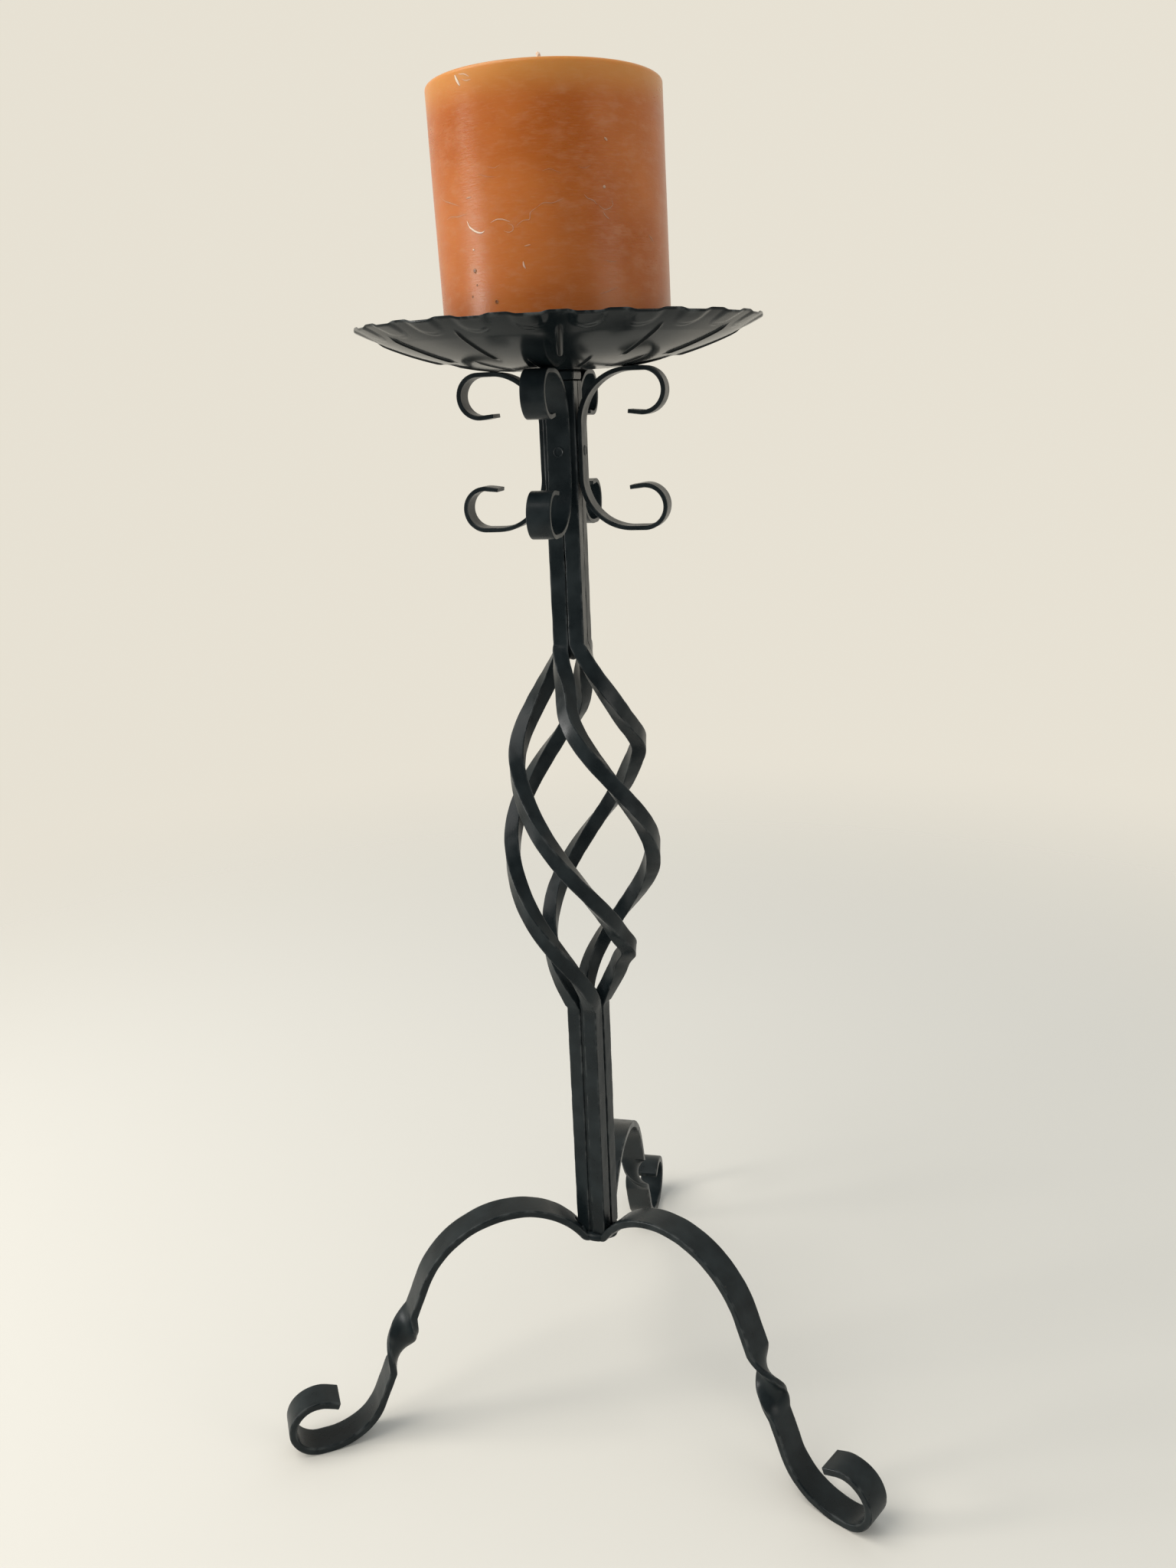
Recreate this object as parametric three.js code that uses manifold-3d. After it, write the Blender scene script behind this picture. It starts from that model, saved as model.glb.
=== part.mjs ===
// A table torchere in wrought iron: a tripod of three scrolled legs, a post of four square
// bars that open into a twisted basket, four scroll brackets and a fluted drip pan with a
// pricket that holds a pillar candle.
// Millimetres, +Z up, the floor at z = 0, the back leg along +Y. The post stands a little
// in front of the origin, so that the origin is the middle of the footprint.
import * as THREE from 'three';
import { mergeVertices } from 'three/addons/utils/BufferGeometryUtils.js';
import Module from 'manifold-3d';

const wasm = await Module();
wasm.setup();

// ---- driving dimensions ----

const clearance = 0.3;           // kept between pieces that touch on the real object

const leg = {
  azimuths: { leg_back: 90, leg_front_left: 210, leg_front_right: 330 },
  width: 15,                     // flat bar
  thickness: 4,
  edge: 0.7,                     // broken edge of the bar
  innerEnd: 4.8,                 // from the post's axis to the end of the bar
  padHeight: 93.6,               // middle of the bar where it lies under the post
  padLength: 1.8,
  kneeRadius: 4.6,               // the sharp bend beside the post
  rise: 57,                      // degrees that the bar climbs at
  archInnerRadius: 49,
  archOuterRadius: 50.5,
  fall: 67,                      // degrees that the bar comes down at
  shankAbove: 19,                // straight run from the arch to the twist
  twistLength: 34,
  twistTurn: 180,
  heelRadius: 32,
  footFlat: 4,                   // the flat that rests on the floor
  curlRadius: 14.2,
  curlTurn: 203,
  tipLength: 6,
};

const post = {
  barCount: 4,
  barSide: 7.4,
  barEdge: 0.6,
  turn: -2,                      // degrees that the post and the pan are turned on the tripod
  upperGap: 0.3,                 // between neighbouring bars above the basket
  lowerGap: 1.7,                 // and below it
  basketBottom: 228.7,
  basketTop: 419,
  height: 536.8,                 // top of the bars
};

const basket = {
  radius: 36.1,                  // from the axis to the middle of a bar, at the widest
  swell: 1.07,                   // 1 leaves the post at a kink, 2 along it
  turn: 257,                     // degrees that a bar goes round the axis
  ease: 0.13,                    // how much faster it goes round near the ends
  barTurn: 90,                   // degrees that a bar rolls on itself besides that
  steps: 44,
};

const bracket = {
  width: 10.8,
  thickness: 2,
  halfStraight: 11.6,
  shoulderRadius: 22.9,
  crownLength: 6,
  curlRadius: 9.4,
  curlTurn: 187,
  tipLength: 4,
  weldRadius: 2.4,
  weldProud: 0.3,
};

const cap = { side: 15.1, height: 4, edge: 0.6 };

const pan = {
  radius: 89.6,
  seatRadius: 14,                // the flat middle
  depth: 18.6,
  curve: 2,                      // 1 is a cone, 2 a bowl
  sheet: 1,
  rings: 5,                      // facets from the flat middle to the flutes
  fluteCount: 24,
  fluteHeight: 1.1,
  fluteWidth: 0.3,               // share of the rim that stands up
  fluteStart: 76,                // radius at which the flutes begin
};

const spike = {
  shankRadius: 2.5,
  collarRadius: 8,
  collarHeight: 2,
  rootRadius: 3,
  tipRadius: 0.5,
  length: 26,
};

const candle = {
  radius: 50,
  height: 108.5,
  edge: 1.6,
  wickRadius: 1,
  wickStand: 13,                 // length of wick above the wax
};

const facets = { pan: 96, candle: 60, spike: 24, weld: 16, wick: 12 };
const degrees = Math.PI / 180;

// ---- what follows from them ----

const padTop = leg.padHeight + leg.thickness / 2;
const postBottom = padTop + clearance;
const lowerSide = 2 * post.barSide + post.lowerGap;
const upperSide = 2 * post.barSide + post.upperGap;
const capBottom = post.height + clearance;
const capTop = capBottom + cap.height;
const panBottom = capTop + clearance;
const collarBottom = panBottom + pan.sheet + clearance;

// ---- finishes ----

function ironwork() {
  return new THREE.MeshStandardMaterial({ color: 0x20262a, roughness: 0.42, metalness: 0.35 });
}

function panIron() {
  return new THREE.MeshStandardMaterial({ color: 0x232a2c, roughness: 0.3, metalness: 0.4 });
}

function wax() {
  return new THREE.MeshStandardMaterial({ color: 0xb5693a, roughness: 0.45, metalness: 0 });
}

function cotton() {
  return new THREE.MeshStandardMaterial({ color: 0xe6c3a6, roughness: 0.9, metalness: 0 });
}

// ---- bending and cutting ----

// A rectangle with broken corners, centred on the bar's line.
function barSection(width, thickness, edge) {
  const x = width / 2;
  const y = thickness / 2;
  return new THREE.Shape([
    new THREE.Vector2(x - edge, -y), new THREE.Vector2(x, -y + edge),
    new THREE.Vector2(x, y - edge), new THREE.Vector2(x - edge, y),
    new THREE.Vector2(-x + edge, y), new THREE.Vector2(-x, y - edge),
    new THREE.Vector2(-x, -y + edge), new THREE.Vector2(-x + edge, -y),
  ]);
}

// A straight bar of that section, one step for each station, laid onto the stations. A
// station has a point and the directions of the section's width and thickness.
function forge(section, stations) {
  const steps = stations.length - 1;
  const geometry = new THREE.ExtrudeGeometry(section, { depth: steps, steps, bevelEnabled: false });
  const position = geometry.getAttribute('position');
  const spot = new THREE.Vector3();
  for (let i = 0; i < position.count; i++) {
    const station = stations[Math.round(position.getZ(i))];
    spot.copy(station.point);
    spot.addScaledVector(station.across, position.getX(i));
    spot.addScaledVector(station.through, position.getY(i));
    position.setXYZ(i, spot.x, spot.y, spot.z);
  }
  geometry.computeVertexNormals();
  return geometry;
}

// A line in the XZ plane made of straight runs and bends, as a smith bends a bar. Each run
// has a length or a radius with the angle it turns through, and the number of its steps.
function bentLine(start, heading, runs) {
  let x = start.x;
  let z = start.y;
  let angle = heading * degrees;
  let roll = 0;
  const line = [{ x, z, angle, roll }];
  for (const run of runs) {
    const turn = (run.turn ?? 0) * degrees;
    const length = run.length ?? Math.abs(turn) * run.radius;
    const steps = run.steps ?? 1;
    const chord = turn ? 2 * run.radius * Math.sin(Math.abs(turn) / steps / 2) : length / steps;
    for (let i = 0; i < steps; i++) {
      angle += turn / steps / 2;
      x += chord * Math.cos(angle);
      z += chord * Math.sin(angle);
      angle += turn / steps / 2;
      roll += (run.roll ?? 0) * degrees / steps;
      line.push({ x, z, angle, roll });
    }
  }
  return line;
}

// The stations of a bar whose width lies square to the XZ plane, but for its roll.
function planeStations(line) {
  return line.map(({ x, z, angle, roll }) => {
    const normal = new THREE.Vector3(-Math.sin(angle), 0, Math.cos(angle));
    const side = new THREE.Vector3(0, 1, 0);
    const across = side.clone().multiplyScalar(Math.cos(roll)).addScaledVector(normal, -Math.sin(roll));
    const through = normal.clone().multiplyScalar(Math.cos(roll)).addScaledVector(side, Math.sin(roll));
    return { point: new THREE.Vector3(x, 0, z), across, through };
  });
}

function solidOf(geometry) {
  const bare = geometry.clone();
  bare.deleteAttribute('normal');
  bare.deleteAttribute('uv');
  const merged = mergeVertices(bare, 1e-4);
  const mesh = new wasm.Mesh({
    numProp: 3,
    vertProperties: new Float32Array(merged.getAttribute('position').array),
    triVerts: new Uint32Array(merged.getIndex().array),
  });
  return new wasm.Manifold(mesh);
}

function cut(geometry, ...cutters) {
  const solid = cutters.reduce((rest, cutter) => rest.subtract(solidOf(cutter)), solidOf(geometry));
  const mesh = solid.getMesh();
  const result = new THREE.BufferGeometry();
  result.setAttribute('position', new THREE.BufferAttribute(mesh.vertProperties, 3));
  result.setIndex(new THREE.BufferAttribute(mesh.triVerts, 1));
  result.computeVertexNormals();
  return result;
}

function mesh(name, geometry, material, turn = 0) {
  const piece = new THREE.Mesh(geometry, material);
  piece.name = name;
  piece.rotation.z = turn * degrees;
  return piece;
}

// A profile of [radius, height] points turned about the Z axis.
function turned(profile, segments) {
  const points = profile.map(([radius, height]) => new THREE.Vector2(radius, height));
  const geometry = new THREE.LatheGeometry(points, segments);
  geometry.rotateX(Math.PI / 2);
  return geometry;
}

// ---- the tripod ----

function legLine() {
  return bentLine(new THREE.Vector2(leg.innerEnd, leg.padHeight), 0, [
    { length: leg.padLength },
    { radius: leg.kneeRadius, turn: leg.rise, steps: 5 },
    { radius: leg.archInnerRadius, turn: -leg.rise, steps: 10 },
    { radius: leg.archOuterRadius, turn: -leg.fall, steps: 12 },
    { length: leg.shankAbove },
    { length: leg.twistLength, roll: leg.twistTurn, steps: 14 },
    { length: shankBelow() },
    { radius: leg.heelRadius, turn: leg.fall, steps: 8 },
    { length: leg.footFlat },
    { radius: leg.curlRadius, turn: leg.curlTurn, steps: 18 },
    { length: leg.tipLength },
  ]);
}

// The straight run below the twist is as long as it takes for the foot to reach the floor.
function shankBelow() {
  const climb = 1 - Math.cos(leg.rise * degrees);
  const drop = 1 - Math.cos(leg.fall * degrees);
  const archTop = leg.padHeight + (leg.kneeRadius + leg.archInnerRadius) * climb;
  const bends = (leg.archOuterRadius + leg.heelRadius) * drop;
  const straight = (archTop - bends - leg.thickness / 2) / Math.sin(leg.fall * degrees);
  return straight - leg.shankAbove - leg.twistLength;
}

function legReach() {
  const line = legLine();
  return Math.max(...line.map((station) => station.x)) + leg.thickness / 2;
}

// The room that the post takes up, with its clearance, turned as it stands beside a leg.
function postEnvelope(turn) {
  const side = lowerSide + 2 * clearance;
  const height = leg.archInnerRadius;
  const room = new THREE.BoxGeometry(side, side, height);
  room.translate(0, 0, padTop + height / 2);
  room.rotateZ(turn * degrees);
  return room;
}

function legBar(azimuth) {
  const section = barSection(leg.width, leg.thickness, leg.edge);
  const straightened = forge(section, planeStations(legLine()));
  return cut(straightened, postEnvelope(post.turn + basket.turn - azimuth));
}

// ---- the post and its basket ----

function bundleRadius(gap) {
  return (post.barSide + gap) / Math.SQRT2;
}

// One point of a bar's line, and how far the bar has rolled, at a share of the way down the
// basket: 0 is its top and 1 its bottom.
function basketPoint(azimuth, down) {
  const straight = THREE.MathUtils.lerp(bundleRadius(post.upperGap), bundleRadius(post.lowerGap), down);
  const mean = (bundleRadius(post.upperGap) + bundleRadius(post.lowerGap)) / 2;
  const radius = straight + (basket.radius - mean) * Math.sin(Math.PI * down) ** basket.swell;
  const eased = down + basket.ease * Math.sin(2 * Math.PI * down) / (2 * Math.PI);
  const around = azimuth * degrees + basket.turn * degrees * eased;
  const z = THREE.MathUtils.lerp(post.basketTop, post.basketBottom, down);
  return new THREE.Vector3(radius * Math.cos(around), radius * Math.sin(around), z);
}

function barStation(point, tangent, roll) {
  const outward = new THREE.Vector3(point.x, point.y, 0);
  outward.addScaledVector(tangent, -outward.dot(tangent)).normalize();
  const around = new THREE.Vector3().crossVectors(tangent, outward);
  const turn = Math.PI / 4 + roll;
  const across = outward.clone().multiplyScalar(Math.cos(turn)).addScaledVector(around, Math.sin(turn));
  const through = new THREE.Vector3().crossVectors(tangent, across);
  return { point, across, through };
}

function stemBar(azimuth) {
  const up = new THREE.Vector3(0, 0, 1);
  const stations = [];
  for (let i = 0; i <= basket.steps; i++) {
    const down = 1 - i / basket.steps;
    const point = basketPoint(azimuth, down);
    const ahead = basketPoint(azimuth, Math.max(down - 1e-3, 0));
    const behind = basketPoint(azimuth, Math.min(down + 1e-3, 1));
    const atEnd = i === 0 || i === basket.steps;
    const tangent = atEnd ? up : ahead.sub(behind).normalize();
    stations.push(barStation(point, tangent, basket.barTurn * degrees * down));
  }
  const bottom = stations[0];
  const top = stations[basket.steps];
  const bottomPoint = bottom.point.clone().setZ(postBottom);
  const topPoint = top.point.clone().setZ(post.height);
  stations.unshift({ ...bottom, point: bottomPoint });
  stations.push({ ...top, point: topPoint });
  return forge(barSection(post.barSide, post.barSide, post.barEdge), stations);
}

// ---- the scroll brackets ----

function bracketRadius() {
  return upperSide / 2 + clearance + bracket.thickness / 2;
}

// Height of the brackets' middle: their crowns touch the underside of the pan.
function bracketMiddle() {
  const rooms = bracketHalf(true, 0).map(({ x, z, angle }) => {
    const outer = x - Math.sin(angle) * bracket.thickness / 2;
    return panUnderside(outer) - z - Math.cos(angle) * bracket.thickness / 2;
  });
  return Math.min(...rooms) - clearance;
}

function bracketHalf(upwards, middle) {
  const side = upwards ? -1 : 1;
  return bentLine(new THREE.Vector2(bracketRadius(), middle), -90 * side, [
    { length: bracket.halfStraight },
    { radius: bracket.shoulderRadius, turn: 90 * side, steps: 9 },
    { length: bracket.crownLength },
    { radius: bracket.curlRadius, turn: bracket.curlTurn * side, steps: 15 },
    { length: bracket.tipLength },
  ]);
}

function scrollBracket() {
  const middle = bracketMiddle();
  const lower = bracketHalf(false, middle).slice(1).reverse();
  const backwards = lower.map((station) => ({ ...station, angle: station.angle + Math.PI }));
  const line = [...backwards, ...bracketHalf(true, middle)];
  const section = barSection(bracket.width, bracket.thickness, 0);
  const strip = forge(section, planeStations(line));
  const hole = weldDisc(bracket.weldRadius + clearance, bracketRadius() - bracket.thickness, 2 * bracket.thickness);
  return cut(strip, hole);
}

// A disc whose axis points outwards from the post, from one radius out.
function weldDisc(radius, from, length) {
  const disc = new THREE.CylinderGeometry(radius, radius, length, facets.weld);
  disc.rotateZ(Math.PI / 2);
  disc.translate(from + length / 2, 0, bracketMiddle());
  return disc;
}

function plugWeld() {
  const from = upperSide / 2 + clearance;
  return weldDisc(bracket.weldRadius, from, bracket.thickness + bracket.weldProud);
}

// ---- the top ----

function postCap() {
  const outline = barSection(cap.side, cap.side, cap.edge);
  const hole = new THREE.Path().absarc(0, 0, spike.shankRadius + clearance, 0, 2 * Math.PI, true);
  outline.holes.push(hole);
  const plate = new THREE.ExtrudeGeometry(outline, {
    depth: cap.height, bevelEnabled: false, curveSegments: facets.spike,
  });
  plate.translate(0, 0, capBottom);
  return plate;
}

function panUnderside(radius) {
  const out = Math.max(radius - pan.seatRadius, 0) / (pan.radius - pan.seatRadius);
  return panBottom + pan.depth * out ** pan.curve;
}

// How far the sheet stands up at an angle and radius: narrow crests, one to each flute.
function fluteLift(angle, radius) {
  const phase = (angle * pan.fluteCount / (2 * Math.PI)) % 1;
  const fromCrest = Math.abs(phase - Math.round(phase));
  const crest = Math.max(0, 1 - fromCrest / pan.fluteWidth);
  const out = Math.max(radius - pan.fluteStart, 0) / (pan.radius - pan.fluteStart);
  return pan.fluteHeight * crest * out;
}

function dripPan() {
  const radii = [spike.shankRadius + clearance];
  for (let i = 0; i <= pan.rings; i++) {
    radii.push(THREE.MathUtils.lerp(pan.seatRadius, pan.fluteStart, i / pan.rings));
  }
  radii.push(pan.radius);
  const under = radii.map((radius) => [radius, panUnderside(radius)]);
  const over = radii.map((radius) => [radius, panUnderside(radius) + pan.sheet]).reverse();
  const geometry = turned([...under, ...over, under[0]], facets.pan);
  const position = geometry.getAttribute('position');
  for (let i = 0; i < position.count; i++) {
    const [x, y] = [position.getX(i), position.getY(i)];
    position.setZ(i, position.getZ(i) + fluteLift(Math.atan2(y, x), Math.hypot(x, y)));
  }
  geometry.computeVertexNormals();
  return geometry;
}

function pricketSpike() {
  const collarTop = collarBottom + spike.collarHeight;
  return turned([
    [0, capBottom],
    [spike.shankRadius, capBottom],
    [spike.shankRadius, collarBottom],
    [spike.collarRadius, collarBottom],
    [spike.collarRadius, collarTop],
    [spike.rootRadius, collarTop],
    [spike.tipRadius, spikeTop()],
    [0, spikeTop()],
  ], facets.spike);
}

function spikeTop() {
  return collarBottom + spike.collarHeight + spike.length;
}

// ---- the candle ----

// The candle's edge rests on the slope of the pan.
function candleBottom() {
  return panUnderside(candle.radius) + pan.sheet + clearance;
}

function candleTop() {
  return candleBottom() + candle.height;
}

// The wax, with the hole that the pricket has made in it and the bore that the wick fills.
function candleWax() {
  const collarTop = collarBottom + spike.collarHeight;
  const share = (candleBottom() - collarTop) / spike.length;
  const mouth = THREE.MathUtils.lerp(spike.rootRadius, spike.tipRadius, share) + clearance;
  const bore = candle.wickRadius + clearance;
  const holeTop = spikeTop() + clearance;
  const round = candle.edge * (1 - Math.SQRT1_2);
  const top = candleTop();
  const bottom = candleBottom();
  return turned([
    [mouth, bottom],
    [candle.radius - candle.edge, bottom],
    [candle.radius - round, bottom + round],
    [candle.radius, bottom + candle.edge],
    [candle.radius, top - candle.edge],
    [candle.radius - round, top - round],
    [candle.radius - candle.edge, top],
    [bore, top],
    [bore, holeTop],
    [mouth, bottom],
  ], facets.candle);
}

function wick() {
  const bottom = spikeTop() + 2 * clearance;
  const length = candleTop() + candle.wickStand - bottom;
  const strand = new THREE.CylinderGeometry(candle.wickRadius, candle.wickRadius, length, facets.wick);
  strand.rotateX(Math.PI / 2);
  strand.translate(0, 0, bottom + length / 2);
  return strand;
}

// ---- assembly ----

function tripod() {
  const group = new THREE.Group();
  for (const [name, azimuth] of Object.entries(leg.azimuths)) {
    group.add(mesh(name, legBar(azimuth), ironwork(), azimuth));
  }
  return group;
}

function stem() {
  const group = new THREE.Group();
  for (let i = 0; i < post.barCount; i++) {
    const azimuth = post.turn + 45 + i * 90;
    group.add(mesh(`stem_bar_${i + 1}`, stemBar(azimuth), ironwork()));
  }
  return group;
}

function scrolls() {
  const group = new THREE.Group();
  ['right', 'back', 'left', 'front'].forEach((side, i) => {
    const azimuth = post.turn + i * 90;
    group.add(mesh(`scroll_bracket_${side}`, scrollBracket(), ironwork(), azimuth));
    group.add(mesh(`plug_weld_${side}`, plugWeld(), ironwork(), azimuth));
  });
  return group;
}

function top() {
  const group = new THREE.Group();
  group.add(mesh('post_cap', postCap(), ironwork(), post.turn));
  group.add(mesh('drip_pan', dripPan(), panIron(), post.turn));
  group.add(mesh('pricket_spike', pricketSpike(), ironwork()));
  return group;
}

function pillarCandle() {
  const group = new THREE.Group();
  group.add(mesh('candle_wax', candleWax(), wax()));
  group.add(mesh('candle_wick', wick(), cotton()));
  return group;
}

function torchere() {
  const group = new THREE.Group();
  group.add(tripod(), stem(), scrolls(), top(), pillarCandle());
  const front = leg.azimuths.leg_front_right * degrees;
  const frontReach = legReach() * -Math.sin(front) + leg.width / 2 * Math.cos(front);
  group.position.y = -(legReach() - frontReach) / 2;
  return group;
}

export default torchere();
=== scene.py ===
import bpy
import numpy as np
from mathutils import Matrix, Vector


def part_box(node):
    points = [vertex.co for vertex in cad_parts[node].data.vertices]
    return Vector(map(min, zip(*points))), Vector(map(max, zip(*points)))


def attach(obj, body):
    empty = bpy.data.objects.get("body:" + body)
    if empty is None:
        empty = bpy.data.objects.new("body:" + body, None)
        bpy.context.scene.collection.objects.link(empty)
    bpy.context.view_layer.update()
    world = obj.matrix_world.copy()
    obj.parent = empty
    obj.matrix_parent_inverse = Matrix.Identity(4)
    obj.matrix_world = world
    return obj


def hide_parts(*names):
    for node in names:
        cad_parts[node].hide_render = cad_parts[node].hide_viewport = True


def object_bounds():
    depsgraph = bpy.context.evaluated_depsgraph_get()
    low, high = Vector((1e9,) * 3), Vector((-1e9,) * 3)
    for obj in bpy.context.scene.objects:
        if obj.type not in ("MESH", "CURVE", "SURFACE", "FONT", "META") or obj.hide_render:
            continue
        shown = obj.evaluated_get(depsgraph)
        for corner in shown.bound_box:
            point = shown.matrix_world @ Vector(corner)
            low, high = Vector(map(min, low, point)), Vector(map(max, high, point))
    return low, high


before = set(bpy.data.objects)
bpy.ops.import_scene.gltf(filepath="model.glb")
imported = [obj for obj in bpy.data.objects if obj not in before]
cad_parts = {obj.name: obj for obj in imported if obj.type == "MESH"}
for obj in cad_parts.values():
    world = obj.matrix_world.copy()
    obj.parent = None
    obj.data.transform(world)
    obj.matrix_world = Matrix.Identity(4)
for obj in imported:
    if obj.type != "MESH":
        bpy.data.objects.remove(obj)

# A wrought-iron table torchere with its pillar candle. Every size below is in millimetres and
# degrees, +Z up, and a mesh is scaled to metres when it is made.
cadBox = [list(corner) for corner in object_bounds()]
mm = 0.001
degrees = np.pi / 180
standX, standY = [(low + high) / 2 / mm for low, high in zip(*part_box("post_cap"))][:2]
print("frame:", len(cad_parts), "nodes")
print("the post stands at", round(standX, 2), round(standY, 2))


def lerp(start, end, share):        # start where share is 0, end where it is 1, straight between
    return start + (end - start) * share


def smooth(low, high, value):        # 0 below low, 1 above high, an S between them
    share = np.clip((value - low) / (high - low), 0, 1)
    return share * share * (3 - 2 * share)


def unit(vectors):        # each vector over its own length
    return vectors / np.linalg.norm(vectors, axis=-1, keepdims=True)


def ripple(points, wave, seed, waves=14):
    # the mean of plane sine waves about one wave long, which run in random directions: -1 to 1
    draw = np.random.default_rng(seed)
    ways = unit(draw.normal(size=(waves, 3))) * draw.uniform(0.6, 1.5, (waves, 1))
    ways = ways * 2 * np.pi / wave
    phases = draw.uniform(0, 2 * np.pi, waves)
    return np.sin(points @ ways.T + phases).mean(axis=-1) * 2


def turnAndPlace(points, azimuth):        # turns about the post's axis, then stands it in its place
    c, s = np.cos(azimuth * degrees), np.sin(azimuth * degrees)
    x, y, z = np.moveaxis(points, -1, 0)
    return np.stack([x * c - y * s + standX, x * s + y * c + standY, z], axis=-1)


def gridFaces(rows, columns):
    # quads between neighbouring rows and columns, with the last column joined to the first
    row = np.arange(rows - 1)[:, None] * columns
    column = np.arange(columns)[None, :]
    after = (column + 1) % columns
    quads = [row + column, row + after, row + columns + after, row + columns + column]
    return np.stack(quads, axis=-1).reshape(-1, 4).tolist()


def closedTube(rings):        # rings of points, rows along the tube, with a flat face at each end
    rows, columns = rings.shape[:2]
    faces = gridFaces(rows, columns)
    faces.append(list(range(columns))[::-1])
    faces.append(list(range((rows - 1) * columns, rows * columns)))
    return rings.reshape(-1, 3), faces


def turned(profile, columns):        # rings of a profile of [radius, height] rows about the Z axis
    angles = np.arange(columns) * 2 * np.pi / columns
    radius, height = profile[:, :1], profile[:, 1:]
    x, y = radius * np.cos(angles), radius * np.sin(angles)
    return np.stack([x, y, height + 0 * angles], axis=-1)


def revolve(profile, columns):        # for a profile whose ends lie near the axis
    return closedTube(turned(profile, columns))


def closedRing(rings):        # rings whose last one meets the first again, as round a drilled disc
    rows, columns = rings.shape[:2]
    last = (rows - 1) * columns
    column = np.arange(columns)
    after = (column + 1) % columns
    seam = np.stack([last + column, last + after, after, column], axis=-1).tolist()
    return rings.reshape(-1, 3), gridFaces(rows, columns) + seam


def evenMarks(points, edge=0.0):        # the same rubbing all over, for weld and turned iron
    return {"edge": np.full(len(points), edge), "place": points * 1.0}


def joined(parts):        # several (points, faces, marks) as one mesh
    points, faces, marks, first = [], [], {}, 0
    for partPoints, partFaces, partMarks in parts:
        points.append(partPoints)
        faces += [[corner + first for corner in face] for face in partFaces]
        for name, values in partMarks.items():
            marks.setdefault(name, []).append(values)
        first += len(partPoints)
    return np.concatenate(points), faces, {name: np.concatenate(v) for name, v in marks.items()}


def addPiece(name, points, faces, marks, finish, body, nodes=()):
    # marks are one number, or one vector, for each point, which the finish reads. No point
    # leaves the box of the whole part.
    mesh = bpy.data.meshes.new(name)
    mesh.from_pydata(np.clip(points * mm, *cadBox).tolist(), [], faces)
    mesh.polygons.foreach_set("use_smooth", np.ones(len(mesh.polygons), dtype=bool))
    for mark, values in marks.items():
        kind, field = ("FLOAT", "value") if values.ndim == 1 else ("FLOAT_VECTOR", "vector")
        mesh.attributes.new(mark, kind, "POINT").data.foreach_set(field, values.ravel())
    mesh.materials.append(finish)
    mesh.update()
    piece = bpy.data.objects.new(name, mesh)
    bpy.context.scene.collection.objects.link(piece)
    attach(piece, body)
    if nodes:
        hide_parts(*nodes)


def addIron(name, points, faces, marks, nodes=()):        # a piece of the stand in forged iron
    addPiece(name, points, faces, marks, ironFinish, "stand", nodes)


barPlan = {
    "cornerPoints": 5,
    # where a flat side has its points, as shares of its length
    "flatShares": (0.04, 0.14, 0.32, 0.5, 0.68, 0.86, 0.96),
    "rubbedWidth": 0.35,        # how far the rubbed edge reaches over a flat side
}


def barCorners():
    # Once round a rounded rectangle. Each point is a share of the way out to a corner's centre
    # and a direction in which the corner's radius is added; a flat side keeps its direction.
    cornerPoints, shares = barPlan["cornerPoints"], np.array(barPlan["flatShares"])
    centre, arc, fromCorner = [], [], []
    for quarter in range(4):
        start = (quarter - 1) * np.pi / 2
        here = np.sign(np.round([np.cos(start + np.pi / 4), np.sin(start + np.pi / 4)], 3))
        ahead = np.array([-here[1], here[0]])
        angles = start + np.linspace(0, np.pi / 2, cornerPoints)
        centre += [np.tile(here, (cornerPoints, 1)), here + (ahead - here) * shares[:, None]]
        last = np.array([np.cos(angles[-1]), np.sin(angles[-1])])
        corner = np.stack([np.cos(angles), np.sin(angles)], axis=-1)
        arc += [corner, np.tile(last, (len(shares), 1))]
        fromCorner += [np.zeros(cornerPoints), np.minimum(shares, 1 - shares)]
    return np.concatenate(centre), np.concatenate(arc), np.concatenate(fromCorner)


def forge(line, width, thickness, edge, uneven, seed):
    # A rounded rectangle carried along a line of stations. The ends close in as quarter rounds,
    # and the surface has shallow dents, as hammered bar does.
    centre, arc, fromCorner = barCorners()
    along = line["along"]
    fromEnd = np.minimum(along, along[-1] - along)
    inset = edge - np.sqrt(np.maximum(edge ** 2 - np.maximum(edge - fromEnd, 0) ** 2, 0))
    halves = np.stack([width / 2 + 0 * along, thickness / 2 + 0 * along], axis=-1) - inset[:, None]
    radius = np.maximum(edge - inset, 0.04)[:, None, None]
    flat = centre * (halves[:, None, :] - radius) + arc * radius
    across, through = line["across"][:, None, :], line["through"][:, None, :]
    rings = line["point"][:, None, :] + flat[..., :1] * across + flat[..., 1:] * through
    outward = arc[None, :, :1] * across + arc[None, :, 1:] * through
    calm = smooth(0, 2 * edge, fromEnd)[:, None, None]
    dents = np.minimum(ripple(rings, uneven["wave"], seed), 0.15) - 0.15
    rings = rings + outward * calm * (uneven["height"] * dents[..., None])
    sideLength = np.where(np.abs(arc[:, 1]) > 0.5, 2 * halves[:, :1], 2 * halves[:, 1:])
    edgeNear = np.exp(-fromCorner * sideLength / barPlan["rubbedWidth"]) + 0 * along[:, None]
    edgeNear = np.maximum(edgeNear, np.exp(-fromEnd / barPlan["rubbedWidth"])[:, None])
    around = np.cumsum(np.linalg.norm(np.diff(flat, axis=1, prepend=flat[:, :1]), axis=-1), axis=1)
    place = np.stack([along[:, None] + 0 * around, around, seed * 37.0 + 0 * around], axis=-1)
    points, faces = closedTube(rings)
    return points, faces, {"edge": edgeNear.ravel(), "place": place.reshape(-1, 3)}


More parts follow.
